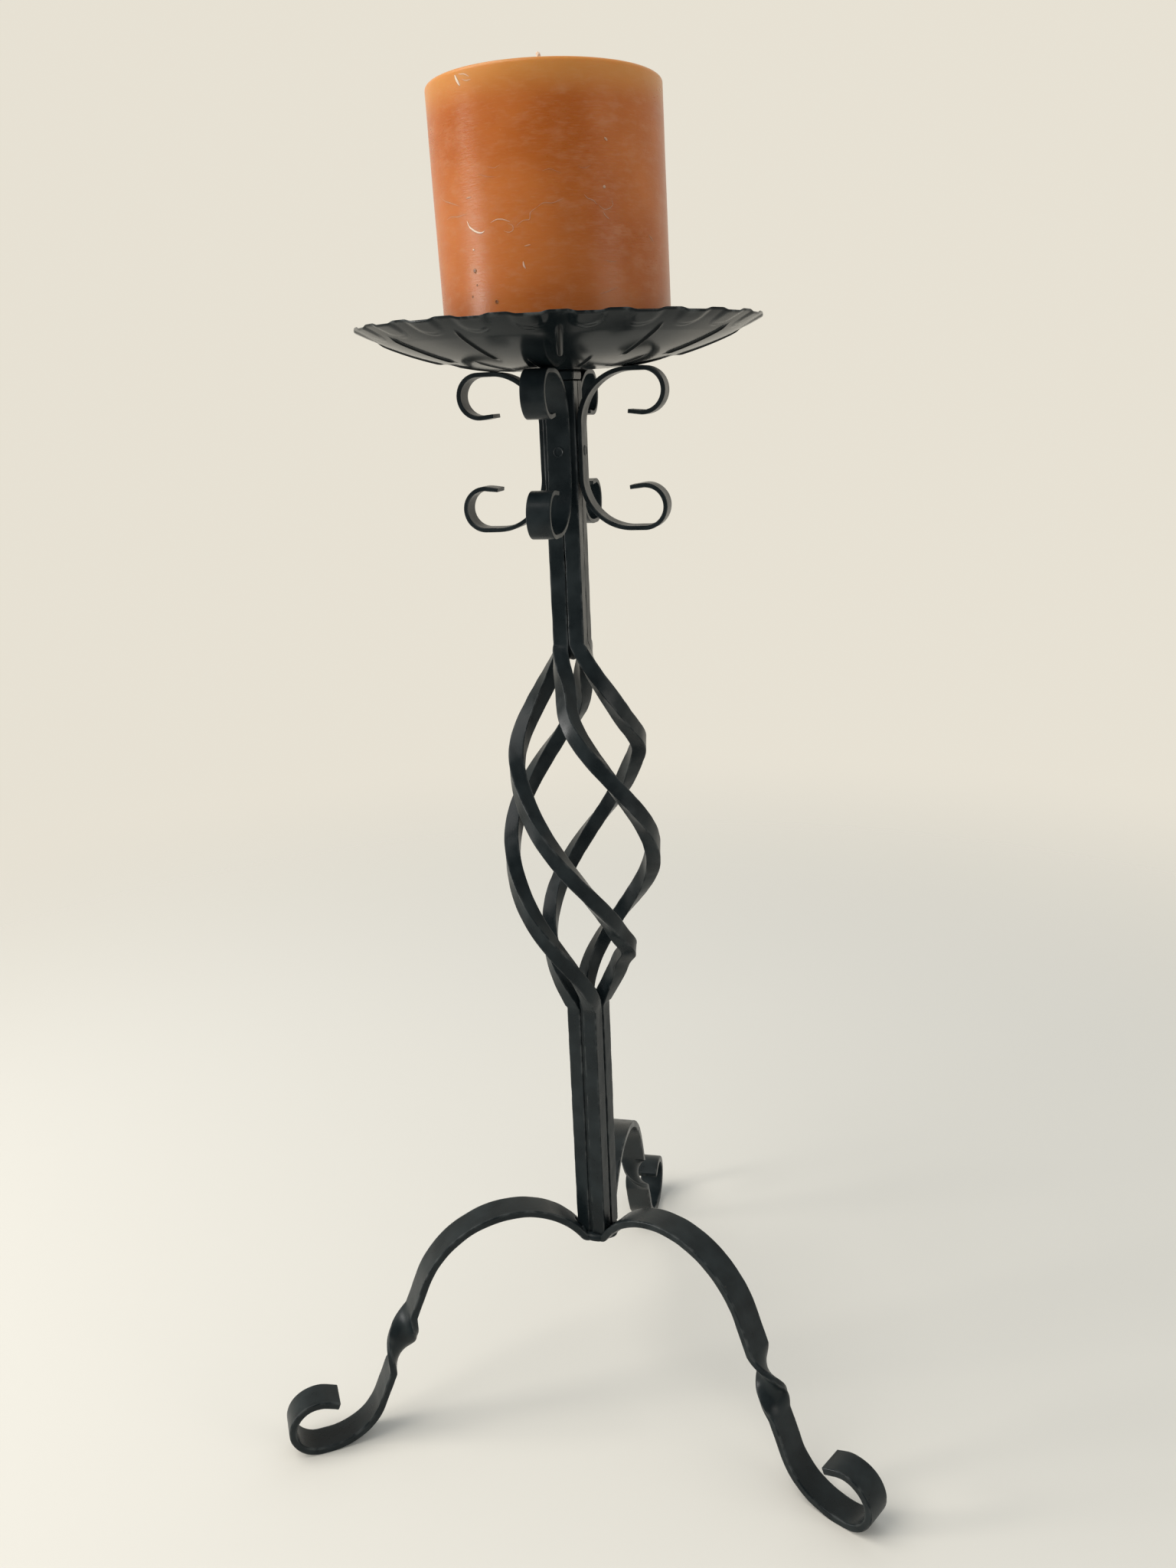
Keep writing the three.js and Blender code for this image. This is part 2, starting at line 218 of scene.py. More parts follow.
def spaced(length, step, edge):        # places along a bar, closer together in its rounded ends
    rounding = edge * (1 - np.cos(np.linspace(0, np.pi / 2, 5)))
    middle = np.linspace(edge, length - edge, max(int((length - 2 * edge) / step), 2) + 1)[1:-1]
    return np.concatenate([rounding, middle, length - rounding[::-1]])


def uprightLine(places, bottom):        # stations straight up the post's axis
    here = np.ones((len(places), 1))
    return {
        "along": places,
        "point": places[:, None] * [[0.0, 0.0, 1.0]] + [[0, 0, bottom]],
        "across": here * [[1.0, 0.0, 0.0]],
        "through": here * [[0.0, 1.0, 0.0]],
    }


def bentLine(start, heading, runs, step=0.25):
    # A line in the XZ plane of straight runs and bends. Each run has a length, or a radius and
    # the angle that it turns through, and may roll the bar; chords of an arc end on the arc.
    x, z, angle, roll, along = [start[0]], [start[1]], [heading * degrees], [0.0], [0.0]
    for run in runs:
        turn = run.get("turn", 0) * degrees
        length = run.get("length", abs(turn) * run.get("radius", 0))
        steps = max(int(length / step), 1)
        share = np.arange(1, steps + 1) / steps
        chord = 2 * run["radius"] * np.sin(abs(turn) / steps / 2) if turn else length / steps
        middle = angle[-1] + turn * (share - 0.5 / steps)
        x.extend(x[-1] + np.cumsum(chord * np.cos(middle)))
        z.extend(z[-1] + np.cumsum(chord * np.sin(middle)))
        rolled = smooth(0, 1, share) * run.get("soft", 0) + share * (1 - run.get("soft", 0))
        roll.extend(roll[-1] + run.get("roll", 0) * degrees * rolled)
        angle.extend(angle[-1] + turn * share)
        along.extend(along[-1] + length * share)
    return [np.array(values) for values in (along, x, z, angle, roll)]


def planeLine(bent, step, edge):
    # Stations of a bar whose width lies square to the XZ plane, but for its roll.
    along, *rest = bent
    places = spaced(along[-1], step, edge)
    x, z, angle, roll = [np.interp(places, along, values)[:, None] for values in rest]
    normal = np.concatenate([-np.sin(angle), 0 * x, np.cos(angle)], axis=-1)
    side = np.array([[0.0, 1.0, 0.0]])
    return {
        "along": places,
        "point": np.concatenate([x, 0 * x, z], axis=-1),
        "across": side * np.cos(roll) - normal * np.sin(roll),
        "through": normal * np.cos(roll) + side * np.sin(roll),
    }


class Wire:
    # A socket that takes part in sums: each operator adds a Math node.
    def __init__(self, finish, socket):
        self.finish, self.socket = finish, socket

    def maths(self, operation, *values):
        return self.finish.node("ShaderNodeMath", {"operation": operation}, dict(enumerate(values)))

    def __add__(self, other):
        return self.maths("ADD", self, other)

    def __radd__(self, other):
        return self.maths("ADD", other, self)

    def __sub__(self, other):
        return self.maths("SUBTRACT", self, other)

    def __rsub__(self, other):
        return self.maths("SUBTRACT", other, self)

    def __mul__(self, other):
        return self.maths("MULTIPLY", self, other)

    def __rmul__(self, other):
        return self.maths("MULTIPLY", other, self)

    def __pow__(self, other):
        return self.maths("POWER", self, other)

    def most(self, other):        # the larger of the two
        return self.maths("MAXIMUM", self, other)

    def band(self, low, high):        # 0 below low, 1 above high, an S between them
        sockets = {"Value": self, "From Min": low, "From Max": high}
        return self.finish.node("ShaderNodeMapRange", {"interpolation_type": "SMOOTHSTEP"}, sockets)


class Finish:
    # A material, or the world, and the one method that adds its nodes.
    def __init__(self, owner):
        self.owner = owner
        owner.use_nodes = True
        self.tree = owner.node_tree
        self.tree.nodes.clear()

    def node(self, kind, settings=None, sockets=None, output=0):
        added = self.tree.nodes.new(kind)
        for setting, value in (settings or {}).items():
            setattr(added, setting, value)
        for socket, value in (sockets or {}).items():
            if isinstance(value, Wire):
                self.tree.links.new(value.socket, added.inputs[socket])
            else:
                added.inputs[socket].default_value = value
        return Wire(self, added.outputs[output]) if added.outputs else None

    def spot(self):        # where a point is, in metres
        return self.node("ShaderNodeTexCoord", output="Object")

    def mark(self, name):        # a number that each point of the mesh keeps
        return self.node("ShaderNodeAttribute", {"attribute_name": name}, output="Fac")

    def markVector(self, name):        # a vector that each point keeps
        return self.node("ShaderNodeAttribute", {"attribute_name": name}, output="Vector")

    def stretched(self, vector, scale):        # times its own scale along each axis
        return self.node("ShaderNodeMapping", None, {"Vector": vector, "Scale": scale})

    def noise(self, vector, scale, detail=2, rough=0.5):
        return self.node("ShaderNodeTexNoise", None, {
            "Vector": vector, "Scale": scale, "Detail": detail, "Roughness": rough,
        })

    def blend(self, share, start, end):        # start and end are colours
        sockets = {0: share, 6: start, 7: end}
        return self.node("ShaderNodeMix", {"data_type": "RGBA"}, sockets, output=2)

    def bump(self, height, distance, strength=1.0):
        return self.node("ShaderNodeBump", None, {
            "Height": height, "Distance": distance, "Strength": strength,
        })

    def surface(self, sockets):        # closes the material
        shader = self.node("ShaderNodeBsdfPrincipled", None, sockets)
        self.node("ShaderNodeOutputMaterial", None, {"Surface": shader})
        return self.owner


ironLook = {
    "black": (0.0066, 0.0096, 0.0106, 1),
    "worn": (0.0130, 0.0176, 0.0186, 1),
    "rubbed": (0.075, 0.078, 0.074, 1),        # where the paint has worn thin on an edge
    "chip": (0.10, 0.075, 0.055, 1),
    "cloudScale": 90,        # a scale is in waves of noise to the metre
    "fineScale": 900,
    "speckleScale": 420,
    "patchScale": 160,
    "drawStretch": (0.05, 1.6, 1),        # the draw marks run along the bar
    "roughness": 0.33,
    "roughnessVaries": 0.42,
    "specular": 0.165,
    "bumpHeight": 0.00012,
}


def forgedIron():
    # Satin black paint on drawn bar: cloudy gloss, faint draw marks along the bar, edges rubbed
    # grey in places and a few small chips.
    look = ironLook
    iron = Finish(bpy.data.materials.new("forgedIron"))
    spot, place = iron.spot(), iron.markVector("place")
    cloud = iron.noise(spot, look["cloudScale"], 3)
    fine = iron.noise(spot, look["fineScale"], 3, 0.6)
    drawn = iron.noise(iron.stretched(place, look["drawStretch"]), 1.0, 2)
    speckle = iron.noise(spot, look["speckleScale"], 4, 0.65)
    edge = iron.mark("edge")
    rubbed = edge ** 1.5 * iron.noise(spot, look["patchScale"], 3).band(0.42, 0.68)
    chips = speckle.band(0.69, 0.73) * (0.25 + 0.75 * edge)
    colour = iron.blend(cloud.band(0.3, 0.75), look["black"], look["worn"])
    colour = iron.blend(0.42 * rubbed, colour, look["rubbed"])
    colour = iron.blend(0.5 * chips, colour, look["chip"])
    rough = look["roughness"] + look["roughnessVaries"] * (cloud - 0.5) + 0.10 * (fine - 0.5)
    height = 0.5 * drawn + 0.35 * fine + 0.6 * cloud - 0.6 * chips
    return iron.surface({
        "Base Color": colour,
        "Roughness": rough + 0.12 * chips,
        "Specular IOR Level": look["specular"],
        "Normal": iron.bump(height, look["bumpHeight"], 0.55),
    })


panLook = {
    "black": (0.0048, 0.0070, 0.0076, 1),
    "worn": (0.0095, 0.0125, 0.0130, 1),
    # worn paint on the rim; along the scallops' lips it is a painted highlight
    "rubbed": (0.11, 0.115, 0.11, 1),
    # painted shade, laid along the creases
    "creaseShade": (0.003, 0.004, 0.004, 1),
    "cloudScale": 45,
    "fineScale": 700,
    "patchScale": 220,
    "roughness": 0.17,
    "specular": 0.095,
    "bumpHeight": 0.00012,
}


def panIron():
    # The same paint, smoother, on pressed sheet: painted shade darkens the creases, the rim is
    # rubbed, and the rubbed pale along the scallops' lips is a painted highlight.
    look = panLook
    iron = Finish(bpy.data.materials.new("panIron"))
    spot = iron.spot()
    cloud = iron.noise(spot, look["cloudScale"], 3)
    fine = iron.noise(spot, look["fineScale"], 3, 0.6)
    crease, edge = iron.mark("crease"), iron.mark("edge")
    rubbed = edge * iron.noise(spot, look["patchScale"], 3).band(0.45, 0.7)
    colour = iron.blend(cloud.band(0.3, 0.75), look["black"], look["worn"])
    # painted shade: the creases are darkened
    colour = iron.blend(crease, colour, look["creaseShade"])
    # rubbed paint on the rim, and a painted highlight along the scallops' lips
    colour = iron.blend(0.5 * rubbed, colour, look["rubbed"])
    rough = look["roughness"] + 0.14 * (cloud - 0.5) + 0.05 * (fine - 0.5) + 0.35 * crease
    return iron.surface({
        "Base Color": colour,
        "Roughness": rough,
        "Specular IOR Level": look["specular"],
        "Normal": iron.bump(0.6 * cloud + 0.2 * fine, look["bumpHeight"], 0.4),
    })


waxLook = {
    "deep": (0.335, 0.079, 0.007, 1),
    "body": (0.405, 0.113, 0.017, 1),
    # painted light: the shoulder is painted paler, as if lit through the thin wax
    "pale": (0.52, 0.235, 0.050, 1),        # thin wax at the shoulder, where light comes through
    "scuff": (0.82, 0.54, 0.36, 1),
    "bloom": (0.41, 0.160, 0.066, 1),
    # painted shade in the pits' dishes
    "pit": (0.12, 0.035, 0.010, 1),
    "shoulderTop": 0.6554,        # in metres, as the height that the material reads is
    "shoulderLitDepth": 0.016,
    "cloudScale": 26,
    "mottleScale": 110,
    "mottleStretch": (1, 1, 2.2),
    "grainScale": 260,
    "grainStretch": (1, 1, 7),
    "dustScale": 520,
    "roughness": 0.31,
    "specular": 0.28,
    "subsurface": 0.35,
    "subsurfaceRadius": (1.0, 0.35, 0.15),        # red light goes furthest into the wax
    "subsurfaceScale": 0.006,
    "bumpHeight": 0.00020,
}


def wax():
    # Through-dyed wax, its shoulder made paler with painted light: cloudy, with a fine level grain
    # from the mould, scuffs that have turned pale and pits darkened with painted shade.
    look = waxLook
    paraffin = Finish(bpy.data.materials.new("wax"))
    spot = paraffin.spot()
    height = paraffin.node("ShaderNodeSeparateXYZ", None, {0: spot}, output="Z")
    cloud = paraffin.noise(spot, look["cloudScale"], 3)
    flattened = paraffin.stretched(spot, look["mottleStretch"])
    mottle = paraffin.noise(flattened, look["mottleScale"], 4, 0.6)
    level = paraffin.stretched(spot, look["grainStretch"])
    grain = paraffin.noise(level, look["grainScale"], 3, 0.6)
    dust = paraffin.noise(spot, look["dustScale"], 4, 0.7)
    scuff, pit = paraffin.mark("scuff"), paraffin.mark("pit")
    # painted light: the shoulder is painted paler, as if lit through the thin wax
    top = height.band(look["shoulderTop"] - look["shoulderLitDepth"], look["shoulderTop"])
    colour = paraffin.blend(cloud.band(0.3, 0.7), look["deep"], look["body"])
    colour = paraffin.blend(0.45 * mottle.band(0.45, 0.75), colour, look["bloom"])
    colour = paraffin.blend(0.30 * grain.band(0.5, 0.75), colour, look["bloom"])
    colour = paraffin.blend(0.65 * top, colour, look["pale"])
    colour = paraffin.blend(0.5 * dust.band(0.66, 0.74), colour, look["bloom"])
    colour = paraffin.blend(scuff ** 1.4, colour, look["scuff"])
    # painted shade: each pit's dish is darkened
    colour = paraffin.blend(0.8 * pit, colour, look["pit"])
    return paraffin.surface({
        "Base Color": colour,
        "Roughness": look["roughness"] + 0.14 * (cloud - 0.5) + 0.12 * (grain - 0.5) + 0.1 * scuff,
        "Specular IOR Level": look["specular"],
        "Subsurface Weight": look["subsurface"],
        "Subsurface Radius": look["subsurfaceRadius"],
        "Subsurface Scale": look["subsurfaceScale"],
        "Normal": paraffin.bump(0.5 * grain + 0.4 * dust + 0.7 * mottle, look["bumpHeight"], 0.5),
    })


cottonLook = {
    "shade": (0.62, 0.44, 0.30, 1),
    "light": (0.86, 0.70, 0.55, 1),
    # painted shade between the strands
    "strandShade": (0.45, 0.25, 0.13, 1),        # between the strands
    "fibreScale": 3000,
    "fibreStretch": (1, 1, 0.3),
    "roughness": 0.55,
    "bumpHeight": 0.00012,
}


def cotton():
    # Waxed cotton: pinkish cream, with painted shade between the strands.
    look = cottonLook
    thread = Finish(bpy.data.materials.new("cotton"))
    lengthways = thread.stretched(thread.spot(), look["fibreStretch"])
    fibre = thread.noise(lengthways, look["fibreScale"], 3)
    strandShade = thread.mark("strandShade")
    colour = thread.blend(fibre, look["shade"], look["light"])
    colour = thread.blend(0.7 * strandShade, colour, look["strandShade"])
    return thread.surface({
        "Base Color": colour,
        "Roughness": look["roughness"] + 0.3 * fibre,
        "Normal": thread.bump(fibre, look["bumpHeight"], 0.7),
    })


ironFinish, panFinish, waxFinish, cottonFinish = forgedIron(), panIron(), wax(), cotton()
print("finishes made")


leg = {
    "azimuths": {"leg_back": 90, "leg_front_left": 210, "leg_front_right": 330},
    "width": 15,
    "thickness": 4,
    "edge": 0.7,
    "innerEnd": 4.8,
    "padHeight": 93.6,
    "padLength": 1.8,
    "kneeRadius": 4.6,
    "rise": 57,
    "archInnerRadius": 49,
    "archOuterRadius": 50.5,
    "fall": 67,
    "shankAbove": 19,
    "twistLength": 34,
    "twistTurn": 180,
    "heelRadius": 32,
    "footFlat": 4,
    "curlRadius": 14.2,
    "curlTurn": 203,
    "tipLength": 6,
    "step": 0.9,
    "uneven": {"height": 0.17, "wave": 15},
}


def legLine():
    # A bend climbs or falls by its radius times one minus the cosine of its turn. What the two
    # bends on the way down leave of the arch's height is a straight shank, over the fall's sine.
    climb, drop = 1 - np.cos(leg["rise"] * degrees), 1 - np.cos(leg["fall"] * degrees)
    archTop = leg["padHeight"] + (leg["kneeRadius"] + leg["archInnerRadius"]) * climb
    bends = (leg["archOuterRadius"] + leg["heelRadius"]) * drop
    straight = (archTop - bends - leg["thickness"] / 2) / np.sin(leg["fall"] * degrees)
    return bentLine((leg["innerEnd"], leg["padHeight"]), 0, [
        {"length": leg["padLength"]},
        {"radius": leg["kneeRadius"], "turn": leg["rise"]},
        {"radius": leg["archInnerRadius"], "turn": -leg["rise"]},
        {"radius": leg["archOuterRadius"], "turn": -leg["fall"]},
        {"length": leg["shankAbove"]},
        {"length": leg["twistLength"], "roll": leg["twistTurn"], "soft": 0.35},
        {"length": straight - leg["shankAbove"] - leg["twistLength"]},
        {"radius": leg["heelRadius"], "turn": leg["fall"]},
        {"length": leg["footFlat"]},
        {"radius": leg["curlRadius"], "turn": leg["curlTurn"]},
        {"length": leg["tipLength"]},
    ])


post = {
    "barSide": 7.4,
    "barEdge": 0.45,
    "turn": -2,
    "upperGap": 0.3,
    "lowerGap": 1.7,
    "clearance": 0.3,
    "basketBottom": 228.7,
    "basketTop": 419,
    "height": 536.8,
    "straightStep": 2.5,
    "uneven": {"height": 0.16, "wave": 9},
}

basket = {
    "radius": 36.1,
    "swell": 1.07,
    "turn": 257,
    "ease": 0.13,
    "barTurn": 90,
    "steps": 190,
}

# Where a bar was bent a little too far on the anvil: the bar, how far down the basket, how far
# out it stands there, how many degrees further round, and over what share of the way.
elbows = [
    {"bar": 4, "down": 0.28, "out": 3.4, "around": 0, "reach": 0.055},
    {"bar": 2, "down": 0.79, "out": 4.6, "around": 0, "reach": 0.035},
    {"bar": 2, "down": 0.27, "out": 1.8, "around": 0, "reach": 0.08},
    {"bar": 1, "down": 0.62, "out": -1.0, "around": 0, "reach": 0.09},
    {"bar": 3, "down": 0.86, "out": 1.2, "around": 0, "reach": 0.05},
    {"bar": 3, "down": 0.09, "out": -0.5, "around": 13, "reach": 0.06},
    {"bar": 1, "down": 0.10, "out": -1.0, "around": 11, "reach": 0.06},
]

padTop = leg["padHeight"] + leg["thickness"] / 2


def makeLegs():
    # The bar's own line, forged, with what would lie inside the post pressed down to the pad.
    line = planeLine(legLine(), leg["step"], leg["edge"])
    half = post["barSide"] + post["lowerGap"] / 2 + post["clearance"]
    for seed, (node, azimuth) in enumerate(leg["azimuths"].items(), start=1):
        points, faces, marks = forge(line, leg["width"], leg["thickness"], leg["edge"],
                                     leg["uneven"], seed)
        turn = (post["turn"] + basket["turn"] - azimuth) * degrees
        x, y = points[:, 0], points[:, 1]
        besideX = np.abs(x * np.cos(turn) + y * np.sin(turn))
        besideY = np.abs(y * np.cos(turn) - x * np.sin(turn))
        under = (besideX < half) & (besideY < half) & (points[:, 2] > padTop)
        points[under, 2] = padTop
        points[:, 2] = np.maximum(points[:, 2], 0)
        addIron("forged_" + node, turnAndPlace(points, azimuth), faces, marks, [node])


makeLegs()
print("legs forged")


def bundleRadius(gap):        # half the diagonal of the square between the middles of four bars
    return (post["barSide"] + gap) / np.sqrt(2)


def basketPoint(bar, down):
    # The radius swells as a power of a sine and the bar goes round evenly, but for a sine that
    # makes it quicker at the ends. down is 0 at the basket's top and 1 at its bottom.
    high, low = bundleRadius(post["upperGap"]), bundleRadius(post["lowerGap"])
    swell = np.sin(np.pi * np.clip(down, 0, 1)) ** basket["swell"]
    radius = lerp(high, low, down) + (basket["radius"] - (high + low) / 2) * swell
    eased = down + basket["ease"] * np.sin(2 * np.pi * down) / (2 * np.pi)
    around = post["turn"] + 45 + 90 * (bar - 1) + basket["turn"] * eased
    inside = smooth(0, 0.04, np.minimum(down, 1 - down))
    for elbow in elbows:
        if elbow["bar"] == bar:
            here = np.exp(-((down - elbow["down"]) / elbow["reach"]) ** 2) * inside
            radius = radius + elbow["out"] * here
            around = around + elbow["around"] * here
    around = around * degrees
    z = lerp(post["basketTop"], post["basketBottom"], down)
    return np.stack([radius * np.cos(around), radius * np.sin(around), z], axis=-1)


def barLine(bar):
    # Straight up the lower post, round the basket and straight up the upper post. A station's
    # width points at 45 degrees from the axis, and rolls as the bar goes down.
    nudge = 1e-3
    down = 1 - np.arange(basket["steps"] + 1) / basket["steps"]
    middle = basketPoint(bar, down)
    higher, lower = np.maximum(down - nudge, 0), np.minimum(down + nudge, 1)
    tangent = unit(basketPoint(bar, higher) - basketPoint(bar, lower))
    nearEnd = np.minimum(down, 1 - down)
    upright = (1 - smooth(0, 0.02, nearEnd))[:, None]
    tangent = unit(lerp(tangent, np.array([0.0, 0.0, 1.0]), upright))
    bottom = padTop + post["clearance"]
    step, edge = post["straightStep"], post["barEdge"]
    below = spaced(post["basketBottom"] - bottom, step, edge)[:-5] + bottom
    above = post["height"] - spaced(post["height"] - post["basketTop"], step, edge)[:-5][::-1]
    first, last = middle[0], middle[-1]
    point = np.concatenate([
        np.stack([0 * below + first[0], 0 * below + first[1], below], axis=-1),
        middle,
        np.stack([0 * above + last[0], 0 * above + last[1], above], axis=-1),
    ])
    up = np.array([[0.0, 0.0, 1.0]])
    tangent = np.concatenate([np.repeat(up, len(below), 0), tangent, np.repeat(up, len(above), 0)])
    roll = np.concatenate([0 * below + 1, down, 0 * above]) * basket["barTurn"] * degrees
    outward = point * [1, 1, 0]
    outward = unit(outward - (outward * tangent).sum(axis=-1, keepdims=True) * tangent)
    around = np.cross(tangent, outward)
    turn = (np.pi / 4 + roll)[:, None]
    across = outward * np.cos(turn) + around * np.sin(turn)
    steps = np.linalg.norm(np.diff(point, axis=0), axis=-1)
    return {
        "along": np.concatenate([[0], np.cumsum(steps)]),
        "point": point,
        "across": across,
        "through": np.cross(tangent, across),
    }


def makeStem():        # a square bar carried along each of the four lines
    side = post["barSide"]
    for bar in (1, 2, 3, 4):
        line = barLine(bar)
        points, faces, marks = forge(line, side, side, post["barEdge"], post["uneven"], 10 + bar)
        node = f"stem_bar_{bar}"
        addIron("forged_" + node, turnAndPlace(points, 0), faces, marks, [node])


makeStem()
print("post and basket forged")


weld = {
    "bossRadius": 11.5,
    "bossBottom": 91.1,
    "lumpRadius": 7.2,
    "lumpLength": 26,
    "beadRadius": 1.7,
    "beadHalfWidth": 6.2,
    "beadRipple": 1.9,        # from one crest of a bead to the next
    "beadStations": 44,
    "seamDepth": 0.7,        # how far the weld in a seam lies behind the bars' faces
    "seamUneven": {"height": 0.25, "wave": 6},
}


def weldBead(ends, radius, seed):
    # A bead like a row of overlapping drops: a tube whose radius falls at both ends as the root
    # of a sixth power, and swells with a sine once for each drop.
    start, end = np.array(ends[0]), np.array(ends[1])
    length = np.linalg.norm(end - start)
    along = np.linspace(0, length, weld["beadStations"])
    ahead = (end - start) / length
    side = unit(np.cross(ahead, [0.0, 0.0, 1.0]))
    over = np.cross(side, ahead)
    size = radius * np.sqrt(np.clip(1 - (2 * along / length - 1) ** 6, 0.01, 1))
    size = size * (1 + 0.10 * np.abs(np.sin(np.pi * along / weld["beadRipple"])))
    around = np.arange(20) * 2 * np.pi / 20
    spokes = np.cos(around)[:, None] * side + np.sin(around)[:, None] * over
    rings = start + along[:, None, None] * ahead + size[:, None, None] * spokes
    rings = rings * (1 + 0.003 * ripple(rings, 4, seed)[..., None])
    points, faces = closedTube(rings)
    return points, faces, evenMarks(points)


def makeFootWelds():
    # A puddle of weld between the legs' ends, and a bead where each leg meets the post.
    share = np.linspace(0, 1, 14)
    spread = np.maximum(weld["bossRadius"] * np.sin(share * np.pi / 2), 0.02)
    low = weld["bossBottom"] + 2.2 * (1 - np.cos(share * np.pi / 2)) ** 1.6
    shoulder = weld["bossRadius"] * np.array([0.96, 0.8])
    profile = np.concatenate([
        np.stack([spread, low], axis=-1),
        [[shoulder[0], padTop - 0.6], [shoulder[1], padTop + 0.1], [0.02, padTop + 0.1]],
    ])
    points, faces = revolve(profile, 60)
    points[:, :2] *= 1 + 0.05 * ripple(points, 9, 81)[:, None]
    points[:, 2] += 0.15 * ripple(points, 5, 82)
    parts = [(points, faces, evenMarks(points))]
    reach = post["barSide"] + post["lowerGap"] / 2
    for number, azimuth in enumerate(leg["azimuths"].values()):
        turn = azimuth * degrees
        out = np.array([np.cos(turn), np.sin(turn), 0])
        aside = np.array([-np.sin(turn), np.cos(turn), 0]) * weld["beadHalfWidth"]
        middle = out * (reach + 1.2) + [0, 0, padTop + 0.9]
        parts.append(weldBead((middle - aside, middle + aside), weld["beadRadius"], 83 + number))
    points, faces, marks = joined(parts)
    addIron("foot_weld", turnAndPlace(points, 0), faces, marks)


def makeSeamWelds():
    # Weld run into the gaps between the four bars of the lower post, a little below their faces.
    span = 2 * post["barSide"] + post["lowerGap"] - 2 * weld["seamDepth"]
    line = uprightLine(spaced(post["basketBottom"] + 4 - padTop, 2.2, 0.3), padTop + 0.2)
    for number in range(2):
        points, faces, marks = forge(line, span, post["lowerGap"] + 0.6, 0.3,
                                     weld["seamUneven"], 91 + number)
        azimuth = post["turn"] + basket["turn"] + 90 * number
        addIron(f"seam_weld_{number + 1}", turnAndPlace(points, azimuth), faces, marks)


def makeBasketWelds():
    # A lump of weld where the bars run together at each end of the basket: an uneven ellipsoid.
    share = np.linspace(-1, 1, 30)
    for end, height in (("top", post["basketTop"] + 4), ("bottom", post["basketBottom"] - 2)):
        spread = np.maximum(weld["lumpRadius"] * np.sqrt(1 - share ** 2), 0.02)
        profile = np.stack([spread, height + share * weld["lumpLength"] / 2], axis=-1)
        points, faces = revolve(profile, 40)
        points[:, :2] *= 1 + 0.08 * ripple(points, 7, 95)[:, None]
        addIron("basket_weld_" + end, turnAndPlace(points, 0), faces, evenMarks(points))


makeFootWelds()
makeSeamWelds()
makeBasketWelds()
print("post welded")


bracket = {
    "width": 10.8,
    "thickness": 2,
    "edge": 0.28,
    "halfStraight": 11.6,
    "shoulderRadius": 22.9,
    "crownLength": 6,
    "curlRadius": 9.4,
    "curlTurn": 187,
    "tipLength": 5.5,
    "tipTaper": 0.1,        # how much thinner a tip is drawn
    "tipTaperLength": 5,
    "weldRadius": 2.4,
    "weldProud": 0.3,
    "step": 0.8,
    "uneven": {"height": 0.07, "wave": 10},
}

cap = {"side": 15.1, "height": 4, "edge": 1.1, "uneven": {"height": 0.5, "wave": 5}}

pan = {
    "radius": 89.6,
    "seatRadius": 14,
    "depth": 18.6,
    "curve": 2,
    "sheet": 1,
    "holeRadius": 2.8,
    "fluteCount": 24,
    "fluteHeight": 0.8,
    "fluteStart": 76,
    "scallopStart": 79.5,        # radius that a scallop reaches in to, between two crests
    "scallopWidth": 0.36,        # half of a scallop, as a share of the way from crest to crest
    "scallopLip": 0.2,
    "creaseCount": 12,
    "creaseWidth": 0.64,
    "outerCrease": {"from": 50.5, "to": 82, "height": 0.85, "phase": 0.5},
    "innerCrease": {"from": 27, "to": 51, "height": 0.5, "phase": 0},
    "creaseTaper": 4,
    "columnsPerCrease": 28,
    "uneven": {"height": 0.16, "wave": 34},
}

panBottom = post["height"] + 2 * post["clearance"] + cap["height"]


def panUnderside(radius):        # a flat middle, then a bowl whose height grows as a power
    out = np.maximum(radius - pan["seatRadius"], 0) / (pan["radius"] - pan["seatRadius"])
    return panBottom + pan["depth"] * out ** pan["curve"]


def bracketHalf(start, side):        # side is -1 for the upper half and 1 for the lower
    return bentLine(start, -90 * side, [
        {"length": bracket["halfStraight"]},
        {"radius": bracket["shoulderRadius"], "turn": 90 * side},
        {"length": bracket["crownLength"]},
        {"radius": bracket["curlRadius"], "turn": bracket["curlTurn"] * side},
        {"length": bracket["tipLength"]},
    ])


upperHalf = post["barSide"] + post["upperGap"] / 2
bracketRadius = upperHalf + post["clearance"] + bracket["thickness"] / 2


def bracketMiddle():        # as high as lets the crowns just touch the pan
    along, x, z, angle, roll = bracketHalf((bracketRadius, 0), -1)
    outerX = x - np.sin(angle) * bracket["thickness"] / 2
    outerZ = z + np.cos(angle) * bracket["thickness"] / 2
    return np.min(panUnderside(outerX) - outerZ) - post["clearance"]


def makeBrackets():
    # A bracket's two halves as one line, from the lower tip to the upper, forged with thin tips.
    middle = bracketMiddle()
    upper = bracketHalf((bracketRadius, middle), -1)
    lower = bracketHalf((bracketRadius, middle), 1)
    total = lower[0][-1]
    backwards = [values[::-1] for values in lower]
    along = np.concatenate([total - backwards[0], total + upper[0][1:]])
    x, z, roll = [np.concatenate([backwards[i], upper[i][1:]]) for i in (1, 2, 4)]
    angle = np.concatenate([backwards[3] + np.pi, upper[3][1:]])
    line = planeLine([along, x, z, angle, roll], bracket["step"], bracket["edge"])
    fromEnd = np.minimum(line["along"], line["along"][-1] - line["along"])
    taper = 1 - bracket["tipTaper"] * (1 - smooth(0, bracket["tipTaperLength"], fromEnd))
    for number, side in enumerate(["right", "back", "left", "front"]):
        azimuth = post["turn"] + 90 * number
        points, faces, marks = forge(line, bracket["width"], bracket["thickness"] * taper,
                                     bracket["edge"], bracket["uneven"], 21 + number)
        node = "scroll_bracket_" + side
        addIron("forged_" + node, turnAndPlace(points, azimuth), faces, marks, [node])
        makePlugWeld(side, azimuth, middle, 31 + number)


